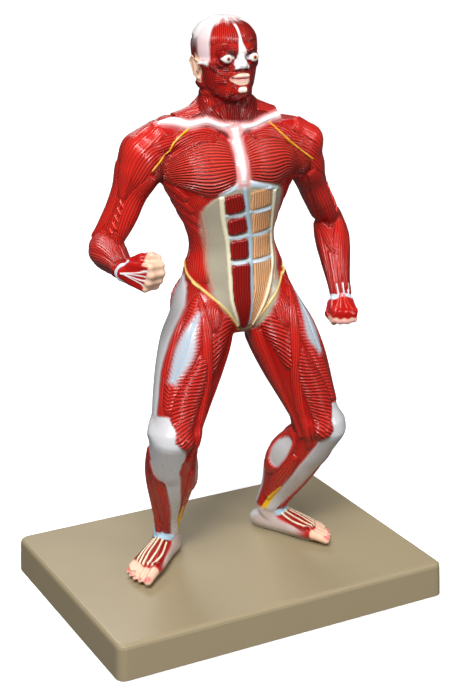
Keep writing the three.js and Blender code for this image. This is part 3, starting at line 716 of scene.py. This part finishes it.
def belly_coats():
    coat("torso .8 -4, .71 -3, .6 -1, .48 0, .37 0, .25 1, .13 4, .02 7", [6, 34, 39, 37, 35, 32, 19, 3],
         CREAM, lift=1.2, soft=2.6, dome=4)
    for edge in ("torso .65 -61, .53 -65, .4 -66, .28 -54", "torso .65 56, .53 62, .4 63, .28 50"):
        coat(edge, [.5, .8, .8, .5], (.82, .50, .42), soft=2.6)
    red_pad = dict(tint=(.62, .05, .02), lift=2.4, base=1.2, fibres=8, corner=4.2, soft=.4,
                   dome=2.2, strength=.8)
    orange_pad = dict(tint=ORANGE, lift=1.0, base=1.2, fibres=9, corner=1.5, soft=.5, dome=1.5, strength=.8)
    for low, high, turn in ((.648, .742, -20), (.536, .622, -19.5), (.405, .508, -18)):
        coat(f"torso {high} {turn}, {low} {turn + 1}", [8.0, 8.6], **red_pad)
    coat("torso .385 -14, .26 -13, .14 -8, .045 -3", [8.8, 8.4, 7, 4], **red_pad)
    for low, high, turn in ((.655, .75, 20.5), (.53, .635, 25), (.395, .505, 28.5)):
        coat(f"torso {high} {turn}, {low} {turn + 1}", [9.8, 10.4], **orange_pad)
    coat("torso .375 29, .26 27, .14 17, .05 10", [10.2, 9, 6.5, 2], **orange_pad)


def belly_cords():
    cord("torso .745 -36, .767 -22, .793 -3, .765 24, .735 46", [1.0, 2.2, 2.6, 2.2, 1.0], PALE_BLUE, .5, .8)
    cord("torso .79 -4, .66 -2, .51 3, .37 5, .18 5, .03 7", [1.4, 1.5, 1.6, 1.5, 1.2, .8], BLUE, .8, .4)
    for s, left, right in ((.636, -35, -4), (.522, -36, -1), (.394, -33, 3), (.642, 2, 41), (.517, 5, 50),
                           (.384, 8, 49)):
        cord(f"torso {s} {left}, {s - .004} {(left + right) / 2}, {s} {right}", [1.5, 1.5],
             PALE_BLUE, .4, .5)
    for edge in ("torso .735 -34, .616 -38, .5 -38, .387 -34, .202 -28, .06 -16",
                 "torso .735 40, .606 46, .475 53, .357 50, .216 33, .06 16"):
        cord(edge, [2.2, 2.0, 1.7, 1.6, 1.4, .8], IVORY, 1.3, .5)


def collar_coats():
    collars = ("torso 1.034 0, rightGirdle .2 32, .36 45, .6 47, .78 64, .99 70",
               "torso 1.034 2, leftGirdle .26 27, .5 47, .74 66")
    for collar in collars:
        count = len(knots(collar))
        coat(collar, [4.6, 3.8, 4.0, 4.6, 4.8, 2.6][:count], PINK, soft=2.2)
        cord(collar, [2.2, 1.7, 1.8, 2.4, 3.0, 1.4][:count], BONE, 1.1, .9)
    coat("torso 1.03 2, .93 1, .79 -4", [6.4, 5.6, 5.6], PINK, soft=2.4, lift=1.4, dome=3)
    cord("torso 1.03 2, .93 1, .8 -4", [3.0, 2.6, 2.0], BONE, .6, 1.1)
    for vein in ("rightGirdle .61 37, rightUpperArm -.158 -13, .087 18",
                 "leftGirdle .557 41, leftUpperArm -.251 -3, .028 27"):
        cord(vein, [.6, .75, .6], YELLOW, .7, .3)
    cords("torso .39 118, .33 84, .23 54, .125 31, .025 10", [1.9, 1.4, 1.0, .9, .8], SOFT_YELLOW, .9, .5)
    coat("torso .1 180, .18 180, .28 180, .38 180, .5 180", [5, 10, 14, 9, 2], SINEW,
         lift=.9, soft=2.6, dome=4)


def leg_coats():
    coats("torso .34 116, Thigh 0 100, .25 100, .55 102, .85 88, Shank .08 78", [5, 17, 23, 23, 18, 9],
          SINEW, lift=1.2, soft=3, dome=5)
    for patch in ("rightThigh .16 25, .3 24, .44 20, .62 21", "leftThigh .07 50, .22 36, .36 27, .48 25"):
        coat(patch, [1.5, 6, 8.5, 4], (.76, .75, .77), soft=3.4)
        coat(patch, [1.5, 5, 7, 3], BLUE, feather=True, skew=58, pitch=3.3, soft=2.4, strength=.5)
        coat(patch, [.5, .6, .6, .4], BLUE, soft=.5)
    flat = dict(tint=SINEW, soft=1.3, base=1.2, lift=.01)
    coats("Thigh .89 24, .96 20, Shank .03 -2, .1 -7", [8, 14, 20, 17], **flat)
    coat("rightShank .06 -5, .19 -13, .28 -30, .4 -38, .6 -52, .8 -62, .98 -80",
         [17, 12.5, 7.5, 5.8, 4.8, 4, 5], **flat)
    coat("leftShank .06 -10, .2 -26, .32 -38, .5 -50, .7 -60, .85 -68, .98 -80",
         [17, 13.5, 10.5, 8, 6, 5, 5], **flat)
    coats("Shank .17 -128, .31 -134, .46 -134", [4, 8.5, 6], SINEW, soft=1.5, corner=5)
    cords("Shank .62 -84, .84 -103, 1.05 -103", [.8, 2.4, 3], YELLOW, .5, .5)
    cords("Shank .93 62, .95 20, .93 -25, .97 -80", [2.4, 2.8, 2.6, 2.2], BLUE, .9, .5)


def wrist_bands():
    around = ", ".join(f"1.02 {turn}" for turn in range(0, 361, 60))
    for side, width in (("right", 2.2), ("left", 2.9)):
        cord(f"{side}Forearm {around}", [width, width], PALE_BLUE, .8, .4)


def head_ring(s, s_reach, turn, turn_reach):
    """Path of a ring of muscle round a point on the face."""
    knots_round = []
    for a in np.radians(range(0, 361, 45)):
        knots_round.append(f"{s + s_reach * math.sin(a)} {turn + turn_reach * math.cos(a)}")
    return "head " + ", ".join(knots_round)


def head_muscles():
    muscles("head .68 27, .82 27, .99 32", [12, 12.4, 8], 1.2, 15, strength=1.3)
    muscles(head_ring(.52, .185, 25, 26), [3.4, 3.4], .9, 5)
    muscles(head_ring(.53, .12, 25, 16), [3.2, 3.2], 1.0, 5, tint=DEEP)
    muscle(head_ring(.29, .075, 0, 17), [2.8, 2.8], 1.1, 4)
    muscles("head .44 52, .3 21", [3.2, 2], 1.6, 4)
    muscles("head .5 20, .35 14", [3, 2], 1.2, 4)
    muscles("head .44 64, .28 60, .12 48", [6, 7, 5], 1.8, 7, tint=DEEP)
    muscles("head .13 56, .09 32, .08 14", [4.5, 4.5, 3], 1, 6, tint=DEEP)
    muscles("head .26 46, .26 22", [4.5, 3], 1.2, 5)
    muscles("head .1 22, .25 17", [3.5, 2], 1.3, 4)
    muscles("head .46 74, .62 82, .8 92", [5, 14, 15], 1.2, 16, tint=(.74, .27, .27), fade=(BONE, .45, .85))
    muscles("head .1 132, .42 128, .7 134", [5, 9, 9], 1, 10)
    muscles("head .4 104, .42 122", [4, 5], 1.4, 5)
    muscles("head .48 162, .72 166", [9, 8], 1, 10)


def hand_and_foot_cords():
    for angle in (38, 64, 106, 134):
        cord(f"rightHand 0 86, .5 {(90 + angle) / 2}, 1 {angle}", [.45, .5, .8], BONE, .5, .3)
    for angle in (-50, -24, 20, 48):
        cord(f"leftHand .1 {angle * .3}, .85 {angle}", [.5, .6], BRIGHT, .5, .3)
    for start, middle, end in ((-32, -52, -66), (-14, -22, -30), (2, 16, 42), (14, 38, 66), (24, 52, 76)):
        cords(f"Foot .44 {start}, .62 {middle}, .82 {end}", [.9, .8, 1.0], IVORY, .6, .3)
    for angle in (-30, 6, 48):
        cord(f"leftForearm .85 {angle}, .98 {angle}", [.6, .7], BONE, .5, .3)


def head_zones(canvas):
    """Bone over the scalp, the temples and cheekbones, then the face, eyes and ears."""
    head = LIMB["head"]
    s, c, d = head.chart(canvas.points)
    turn = np.abs(np.degrees(np.arctan2(d, c)))
    hairline = 0.955 - 0.07 * smooth(38, 62, turn) - 0.13 * smooth(68, 86, turn)
    hairline = hairline + 0.012 * np.sin(np.radians(turn * 14))
    hairline = hairline + 0.025 * np.cos(2 * np.pi * canvas.fibre) * (turn < 60)
    canvas.zone(smooth(-1.6, 1.6, (s - hairline) * head.length), BONE, flatten=.6)
    temple = smooth(51, 57, turn) * smooth(88, 78, turn) * smooth(.46, .50, s)
    canvas.zone(temple, (.96, .86, .87), flatten=.8)
    cheekbone = smooth(1.0, -1.0, np.abs(s - .455) * head.length - 1.2 - .09 * np.abs(turn - 68))
    canvas.zone(cheekbone * smooth(54, 58, turn) * smooth(83, 79, turn), BONE, flatten=1.2)
    face_zones(canvas, head, s, smooth(14, 18, c), np.abs(d))
    for side in (-1, 1):
        eye_zones(canvas, canvas.points - head.at(EYE_FRACTION, EYE_FRONT, side * EYE_OUTER))
        ear = np.min([capsule(canvas.points, a, b, ra, rb) for a, b, ra, rb, _ in BLOBS["head"]
                      if side * a[0] > 18 and abs(head.chart(a[None])[1][0]) < 8], axis=0)
        beside = (np.abs(d) > 23) * (np.abs(c) < 9) * (side * d > 0)
        canvas.zone(smooth(2.2, 1.4, ear) * beside, FLESH, flatten=0)


def face_zones(canvas, head, s, front, across):
    """The bone of the nose, painted shade in the nostrils, the mouth with painted shade where its lips part,
    and the chin.
    """
    half = np.interp(s, (.42, .45, .55, .64, .72, .80, .97), (7.2, 6.6, 4.4, 3.4, 1.8, 1.1, 1.3))
    canvas.zone(front * smooth(half + .4, half - .4, across) * smooth(.392, .402, s), BONE, flatten=.3)
    nostril = np.hypot(across - 2.8, (s - .386) * head.length * 1.6)
    # painted shade: the nostrils are dark maroon dips
    canvas.zone(front * smooth(2.0, 1.4, nostril), MAROON, flatten=-.6)
    fine = 9.4 * np.sqrt(np.clip(1 - ((s - .283) * head.length / 4.8) ** 2, 0, 1))
    lips = front * smooth(fine + .3, fine - .5, across) * smooth(.205, .215, s) * smooth(.362, .352, s)
    canvas.zone(lips, (.95, .84, .74), flatten=.5)
    inner = np.abs(s - .285 - .0001 * across ** 2) * head.length
    canvas.zone(lips * smooth(2.2, .9, inner), (.90, .62, .58))
    # painted shade: a dark maroon line where the lips part
    canvas.zone(front * smooth(9.5, 8.5, across) * smooth(.45, .2, inner), MAROON, flatten=-.5)
    chin = np.maximum(across - 1.6, 0) ** 2 + ((s - .15) * head.length) ** 2
    canvas.zone(front * smooth(8.5, 5.0, chin), (.95, .90, .84), flatten=.4)


def eye_zones(canvas, q):
    """Painted eyelid shadow round the socket, then the white, iris and pupil; q is the place from the eye's
    centre.
    """
    away = np.linalg.norm(q, axis=1)
    almond = np.abs(q[:, 2]) / 4.0 + np.abs(q[:, 0] / 6.6) ** 2.2
    ahead = q[:, 1] < -1
    # painted shadow: a dark maroon almond round the eye white stands in for the eyelid's shade
    canvas.zone((away < 9) * ahead * smooth(1.5, 1.2, almond), MAROON, flatten=0)
    white = smooth(7.0, 6.6, away) * ahead * smooth(1.06, .92, almond)
    canvas.zone(white, BONE, flatten=0)
    iris = np.hypot(q[:, 0], q[:, 2])
    rings = (2.2, 1.9, (.90, .62, .30)), (1.5, 1.3, (.45, .12, .07)), (.8, .6, (.10, .02, .02))
    for edge, core, tint in rings:
        canvas.zone(white * smooth(edge, core, iris), tint)


def foot_zones(canvas, side):
    """Sinew over the heel and the inner edge, skin on the toes, and their nails."""
    p = canvas.points
    s, c, d = LIMB[side + "Foot"].chart(p)
    low = smooth(26, 20, p[:, 2])
    sole = smooth(2.5, 1.0, p[:, 2] - 4 * smooth(.8, .4, s))
    heel = np.maximum(smooth(.42, .36, s + .010 * (c - 6)), sole)
    canvas.zone(heel * low, SINEW, flatten=.4)
    inner = smooth(-10.5, -12.5, d + 6 * (s - .5)) * smooth(.85, .6, s)
    canvas.zone(inner * low, (.78, .72, .70), flatten=.4)
    canvas.zone(smooth(.85, .88, s + np.maximum(d, 0) * .009) * low, FLESH, flatten=0)
    for (a, b, ra, rb, _), size in zip(BLOBS[side + "Foot"], (4.2, 2.8, 2.6, 2.5, 2.4)):
        tip = b + (b - a) / np.linalg.norm(b - a) * rb * .35 + UP * rb * .8
        canvas.zone(smooth(size, size - .8, np.linalg.norm(p - tip, axis=1)), (.93, .50, .48))


def hand_zones(canvas, side):
    """Skin on the fingers, and the nails that show."""
    hand = LIMB[side + "Hand"]
    s, c, d = hand.chart(canvas.points)
    if side == "right":
        reach = s + .012 * (d - 4) - .009 * (c - 4)
        finger = np.maximum(smooth(.94, 1.04, reach), smooth(-6, -8, d) * smooth(.3, .5, s))
        finger = np.maximum(finger, smooth(.68, .76, s) * smooth(10, 11.5, c))
        nails, edge, core = [(0.92, 19.6, -5.5)], 2.6, 2.0
    else:
        lobe = .5 * np.cos(2 * np.pi * (d + .3) / 6.5)
        finger = smooth(.4, -.8, c - lobe) * smooth(.72, .82, s)
        nails, edge, core = [(1.12, -2.4, d_finger) for d_finger in (-9.7, -3.5, 2.9, 8.9)], 3.1, 2.2
    canvas.zone(finger, FLESH, flatten=0)
    for nail in nails:
        away = np.linalg.norm(canvas.points - hand.at(*nail), axis=1)
        canvas.zone(smooth(edge, core, away), PINK)


def paint_zones(canvas, piece):
    """The areas that follow a limb's shape rather than a band."""
    side, _, part = piece.partition("_")
    if piece == "head_and_neck":
        head_zones(canvas)
    elif part == "leg":
        foot_zones(canvas, side)
    elif part == "arm":
        hand_zones(canvas, side)


for paint_region in (trunk_muscles, neck_muscles, hip_and_thigh_muscles, lower_leg_muscles, arm_muscles,
                     belly_coats, belly_cords, collar_coats, leg_coats, wrist_bands, head_muscles,
                     hand_and_foot_cords):
    paint_region()
STRAPS = [(method, Strap(path, widths, **options)) for method, path, widths, options in LAYERS]


# ==== meshes ===============================================================================
def sample(limbs, region, low, high, voxel, block=4, most=200000):
    """The field on a grid, worked out finely only near the skin, at most so many points at a time."""
    count = np.ceil((high - low) / (voxel * block)).astype(int)
    step = voxel * block
    axes = [low[i] + (np.arange(count[i]) + 0.5) * step for i in range(3)]
    centres = np.stack(np.meshgrid(*axes, indexing="ij"), -1).reshape(-1, 3)

    def shape(points):
        value = np.maximum(field(points, limbs), -points[:, 2])
        return np.maximum(value, region(points))
    coarse = shape(centres)
    near = np.abs(coarse) < step * 1.6
    fine = np.where(coarse > 0, 3 * voxel, -3 * voxel)[:, None] * np.ones(block ** 3)
    inner = (np.arange(block) + 0.5) * voxel - step / 2
    offsets = np.stack(np.meshgrid(inner, inner, inner, indexing="ij"), -1).reshape(-1, 3)
    points = (centres[near][:, None] + offsets).reshape(-1, 3)
    values = np.concatenate([shape(part) for part in np.array_split(points, max(1, len(points) // most))])
    fine[near] = values.reshape(-1, block ** 3)
    grid = fine.reshape(*count, block, block, block).transpose(0, 3, 1, 4, 2, 5)
    return np.clip(grid.reshape(count * block), -3 * voxel, 3 * voxel).astype(np.float32)


def skin(limbs, region, names, voxel):
    """Points and quads of the casting's surface."""
    corners = []
    for name in names:
        limb = LIMB[name]
        reach = limb.table[:, 1:].max() + 8
        for point in (limb.start, limb.start + limb.span):
            corners += [point - reach, point + reach]
        for a, b, ra, rb, _ in BLOBS.get(name, []):
            corners += [a - 8, a + 8, b - 8, b + 8]
    low, high = np.min(corners, 0), np.max(corners, 0)
    low[2] = max(low[2], -2)
    grid = openvdb.FloatGrid(3 * voxel)
    grid.copyFromArray(sample(limbs, region, low, high, voxel))
    points, quads = grid.convertToQuads(isovalue=0.0)
    points = low + (points + 0.5) * voxel
    return points.astype(float), quads[:, ::-1]


PAINT_BASE = 1.2  # how far the bare figure lies under the field's surface where it is free
RIDGE_HEIGHT = 0.16
CREASE_SHADE = 0.22  # painted shade: what is left of the colour at the bottom of a crease


def painted(name):
    """A casting's final points, its quads and its canvas."""
    limbs, region, own, voxel = PIECES[name]
    points, quads = skin(limbs, region, own, voxel)
    normals = slope(points, limbs)
    canvas = Canvas(points, normals)
    for method, strap in STRAPS:
        getattr(canvas, method)(strap)
    paint_zones(canvas, name)
    free = smooth(-1.2, -0.3, field(points, limbs)) * smooth(0.2, 2.0, points[:, 2])
    ridge = np.where(canvas.amp > 0, RIDGE_HEIGHT * canvas.amp * np.cos(2 * np.pi * canvas.fibre), 0)
    moved = points + normals * (free * (canvas.height - PAINT_BASE + ridge))[:, None]
    moved[:, 2] = np.maximum(moved[:, 2], 0)
    place = moved * UNIT
    place[:, 2] += SOLE
    return place, quads, canvas


def placed(name, data):
    thing = bpy.data.objects.new(name, data)
    bpy.context.scene.collection.objects.link(thing)
    return thing


def cast(name):
    place, quads, canvas = painted(name)
    mesh = bpy.data.meshes.new(name)
    mesh.vertices.add(len(place))
    mesh.vertices.foreach_set("co", place.astype(np.float32).ravel())
    mesh.loops.add(quads.size)
    mesh.loops.foreach_set("vertex_index", quads.astype(np.int32).ravel())
    mesh.polygons.add(len(quads))
    mesh.polygons.foreach_set("loop_start", np.arange(0, quads.size, 4, dtype=np.int32))
    mesh.polygons.foreach_set("use_smooth", np.ones(len(quads), bool))
    mesh.update(calc_edges=True)
    mesh.validate()
    rgba = np.ones((len(place), 4), np.float32)
    # the painted crease shade darkens the paint wherever the crease value is low
    rgba[:, :3] = canvas.colour * (CREASE_SHADE + (1 - CREASE_SHADE) * canvas.crease[:, None])
    mesh.attributes.new("paint", "FLOAT_COLOR", "POINT").data.foreach_set("color", rgba.ravel())
    for key, values in (("fibre", canvas.fibre), ("amp", canvas.amp)):
        mesh.attributes.new(key, "FLOAT", "POINT").data.foreach_set("value", values.astype(np.float32))
    piece = placed(name + "_cast", mesh)
    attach(piece, "root")
    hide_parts(name)
    return piece


# ==== materials ============================================================================
class Nodes:
    """Short names for building a node tree."""

    def __init__(self, name):
        self.material = bpy.data.materials.new(name)
        self.material.use_nodes = True
        self.tree = self.material.node_tree
        self.shader = self.tree.nodes["Principled BSDF"]

    def add(self, kind, links, **settings):
        node = self.tree.nodes.new(kind)
        for key, value in settings.items():
            setattr(node, key, value)
        for key, value in links.items():
            self.put(value, node.inputs[key])
        return node

    def put(self, value, socket):
        if isinstance(value, bpy.types.NodeSocket):
            self.tree.links.new(value, socket)
        else:
            socket.default_value = value

    def math(self, operation, a, b=0.0, c=0.0):
        return self.add("ShaderNodeMath", {0: a, 1: b, 2: c}, operation=operation).outputs[0]

    def mix(self, factor, a, b, blend="MIX"):
        links = {0: factor, 6: a, 7: b}
        return self.add("ShaderNodeMix", links, data_type="RGBA", blend_type=blend).outputs[2]

    def noise(self, scale, detail):
        place = self.add("ShaderNodeTexCoord", {}).outputs["Object"]
        links = {"Vector": place, "Scale": scale, "Detail": detail, "Roughness": 0.5}
        return self.add("ShaderNodeTexNoise", links).outputs["Fac"]

    def attribute(self, name, output="Fac"):
        return self.add("ShaderNodeAttribute", {}, attribute_name=name).outputs[output]

    def scaled(self, value, low, high):
        return self.add("ShaderNodeMapRange", {0: value, 3: low, 4: high}).outputs[0]

    def bump(self, height, distance, strength, normal=None):
        links = {"Height": height, "Distance": distance, "Strength": strength}
        if normal is not None:
            links["Normal"] = normal
        return self.add("ShaderNodeBump", links).outputs[0]

    def finish(self, **inputs):
        for key, value in inputs.items():
            self.put(value, self.shader.inputs[key.replace("_", " ")])
        return self.material


def painted_skin():
    n = Nodes("painted_pvc")
    paint = n.attribute("paint", "Color")
    amp = n.attribute("amp")
    wave = n.math("COSINE", n.math("MULTIPLY", n.attribute("fibre"), 2 * math.pi))
    ridge = n.math("MULTIPLY", n.math("MULTIPLY_ADD", wave, 0.5, 0.5), amp)
    valley = n.math("SUBTRACT", amp, ridge)
    blotch = n.noise(90.0, 4.0)
    # painted shade darkens the fibres' grooves, and a faint painted highlight lightens their ridges
    painted_groove_shade = n.mix(n.math("MULTIPLY", valley, 0.7), paint, (0.26, 0.10, 0.10, 1), "MULTIPLY")
    painted_ridge_highlight = n.mix(n.math("MULTIPLY", ridge, 0.015), painted_groove_shade, (1, 0.5, 0.4, 1))
    worn = n.mix(n.scaled(blotch, 0.0, 0.22), painted_ridge_highlight, (0.78, 0.66, 0.64, 1), "MULTIPLY")
    brush = n.noise(700.0, 2.0)
    height = n.math("MULTIPLY_ADD", brush, 0.10, ridge)
    normal = n.bump(height, 0.0008, 0.9)
    soft = n.bump(n.noise(240.0, 3.0), 0.0004, 0.12, normal)
    rough = n.math("MULTIPLY_ADD", blotch, 0.14, 0.22)
    return n.finish(Base_Color=worn, Roughness=rough, Normal=soft, Coat_Weight=0.15, Coat_Roughness=0.08,
                    Specular_IOR_Level=0.5)


skin_paint = painted_skin()
for name, piece in [(name, cast(name)) for name in PIECES]:
    piece.data.materials.append(skin_paint)


def plastic(name, colour, mark, low, high, grain_depth):
    """A moulded surface of two close colours and two roughnesses."""
    n = Nodes(name)
    blotch = n.noise(18.0, 5.0)
    fine = n.noise(900.0, 2.0)
    base = n.mix(n.scaled(blotch, 0.0, 0.35), (*linear(colour), 1), (*linear(mark), 1))
    rough = n.scaled(blotch, low, high)
    grain = n.bump(fine, grain_depth, 0.25)
    return n.finish(Base_Color=base, Roughness=rough, Normal=grain, Specular_IOR_Level=0.45)


def metal(name, colour):
    n = Nodes(name)
    wear = n.noise(1500.0, 4.0)
    base = n.mix(n.scaled(wear, 0.0, 0.4), (*linear(colour), 1), (*linear([c * .7 for c in colour]), 1))
    return n.finish(Base_Color=base, Roughness=n.scaled(wear, .22, .45), Metallic=1.0,
                    Normal=n.bump(wear, 0.00005, 0.3))


stand = plastic("stand_plastic", (.62, .565, .45), (.57, .51, .395), .32, .46, .00008)
rubber = plastic("pad_rubber", (.10, .10, .10), (.16, .155, .15), .75, .95, .0001)
pvc = plastic("plain_pvc", (.85, .82, .75), (.78, .74, .66), .5, .65, .0001)
zinc, brass = metal("zinc_plate", (.74, .75, .77)), metal("turned_brass", (.80, .62, .30))
FINISH = {
    "stand_cover": stand, "rubber_pad": rubber, "screw": zinc, "washer": zinc, "threaded_insert": brass}
for name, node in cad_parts.items():
    if name not in PIECES:
        for slot in node.material_slots:
            slot.material = next((m for key, m in FINISH.items() if name.startswith(key)), pvc)


# ==== stage ================================================================================
FLOOR_REACH = 12.0
FLOOR_GLOW, BACKDROP_GLOW, WORLD_GLOW = 0.42, 1.1, 0.12
BACKDROP_SIDES = 48
# for each area light its place, width and height, and power
LAMPS = {
    "key": ((-0.85, -1.0, 1.35), (.4, .4), 20), "fill": ((1.0, -1.5, 1.0), (.3, .6), 8),
    "back": ((0.3, 1.7, 1.6), (1.0, .7), 13)}
SUN_POWER, SUN_SPREAD, SUN_TILT = 2.15, math.radians(35), (math.radians(28), math.radians(-18), 0)
CAMERA_PLACE, CAMERA_AIM = (-0.5611, -1.0504, 0.6285), (0.4447, 0.8346, -0.3249)
SENSOR_HEIGHT, LENS = 36, 76.2


def paper(name, glow):
    n = Nodes(name)
    grain = n.noise(40.0, 2.0)
    base = n.mix(n.scaled(grain, 0, .1), (.95, .95, .95, 1), (.92, .92, .92, 1))
    return n.finish(Base_Color=base, Roughness=0.9, Specular_IOR_Level=0.1, Emission_Strength=glow,
                    Emission_Color=(1, 1, 1, 1))


def stage_piece(name, bm, material):
    """A piece of white paper that the object neither reflects nor takes light from."""
    mesh = bpy.data.meshes.new(name)
    bm.to_mesh(mesh)
    bm.free()
    mesh.materials.append(material)
    sheet = placed(name, mesh)
    sheet.visible_glossy = False
    sheet.visible_diffuse = False
    return sheet


def floor():
    bm = bmesh.new()
    corners = [(-1, -1), (1, -1), (1, 1), (-1, 1)]
    bm.faces.new([bm.verts.new((x * FLOOR_REACH, y * FLOOR_REACH, 0)) for x, y in corners])
    stage_piece("floor", bm, paper("floor_paper", FLOOR_GLOW))


def backdrop():
    """A round white wall at the floor's edge. It throws no shadow, so the sun light shines through it."""
    bm = bmesh.new()
    turns = [2 * math.pi * i / BACKDROP_SIDES for i in range(BACKDROP_SIDES)]
    rings = []
    for height in (0, FLOOR_REACH):
        corners = [(FLOOR_REACH * math.cos(a), FLOOR_REACH * math.sin(a), height) for a in turns]
        rings.append([bm.verts.new(corner) for corner in corners])
    for i in range(BACKDROP_SIDES):
        j = (i + 1) % BACKDROP_SIDES
        bm.faces.new((rings[0][i], rings[1][i], rings[1][j], rings[0][j]))
    wall = stage_piece("backdrop", bm, paper("backdrop_paper", BACKDROP_GLOW))
    wall.visible_shadow = False


def aimed(name, data, place, direction):
    """A light or the camera at a place, looking in a direction."""
    thing = placed(name, data)
    thing.location = place
    thing.rotation_euler = Vector(direction).to_track_quat("-Z", "Y").to_euler()
    return thing


floor()
backdrop()
middle = Vector(((cad_low[0] + cad_high[0]) / 2, (cad_low[1] + cad_high[1]) / 2, cad_high[2] * .55))
for name, (place, size, power) in LAMPS.items():
    lamp = bpy.data.lights.new(name, "AREA")
    lamp.shape = "RECTANGLE"
    lamp.size, lamp.size_y = size
    lamp.energy = power
    aimed(name, lamp, place, middle - Vector(place))
sun_data = bpy.data.lights.new("sun", "SUN")
sun_data.energy = SUN_POWER
sun_data.angle = SUN_SPREAD
sun = placed("sun", sun_data)
sun.rotation_euler = SUN_TILT
sun.visible_glossy = False
world = bpy.data.worlds.new("studio")
world.use_nodes = True
world.node_tree.nodes["Background"].inputs[0].default_value = (1, 1, 1, 1)
world.node_tree.nodes["Background"].inputs[1].default_value = WORLD_GLOW
scene = bpy.context.scene
scene.world = world
scene.view_settings.view_transform = "Standard"
camera_data = bpy.data.cameras.new("camera")
camera_data.sensor_fit = "VERTICAL"
camera_data.sensor_height = SENSOR_HEIGHT
camera_data.lens = LENS
scene.camera = aimed("camera", camera_data, CAMERA_PLACE, CAMERA_AIM)
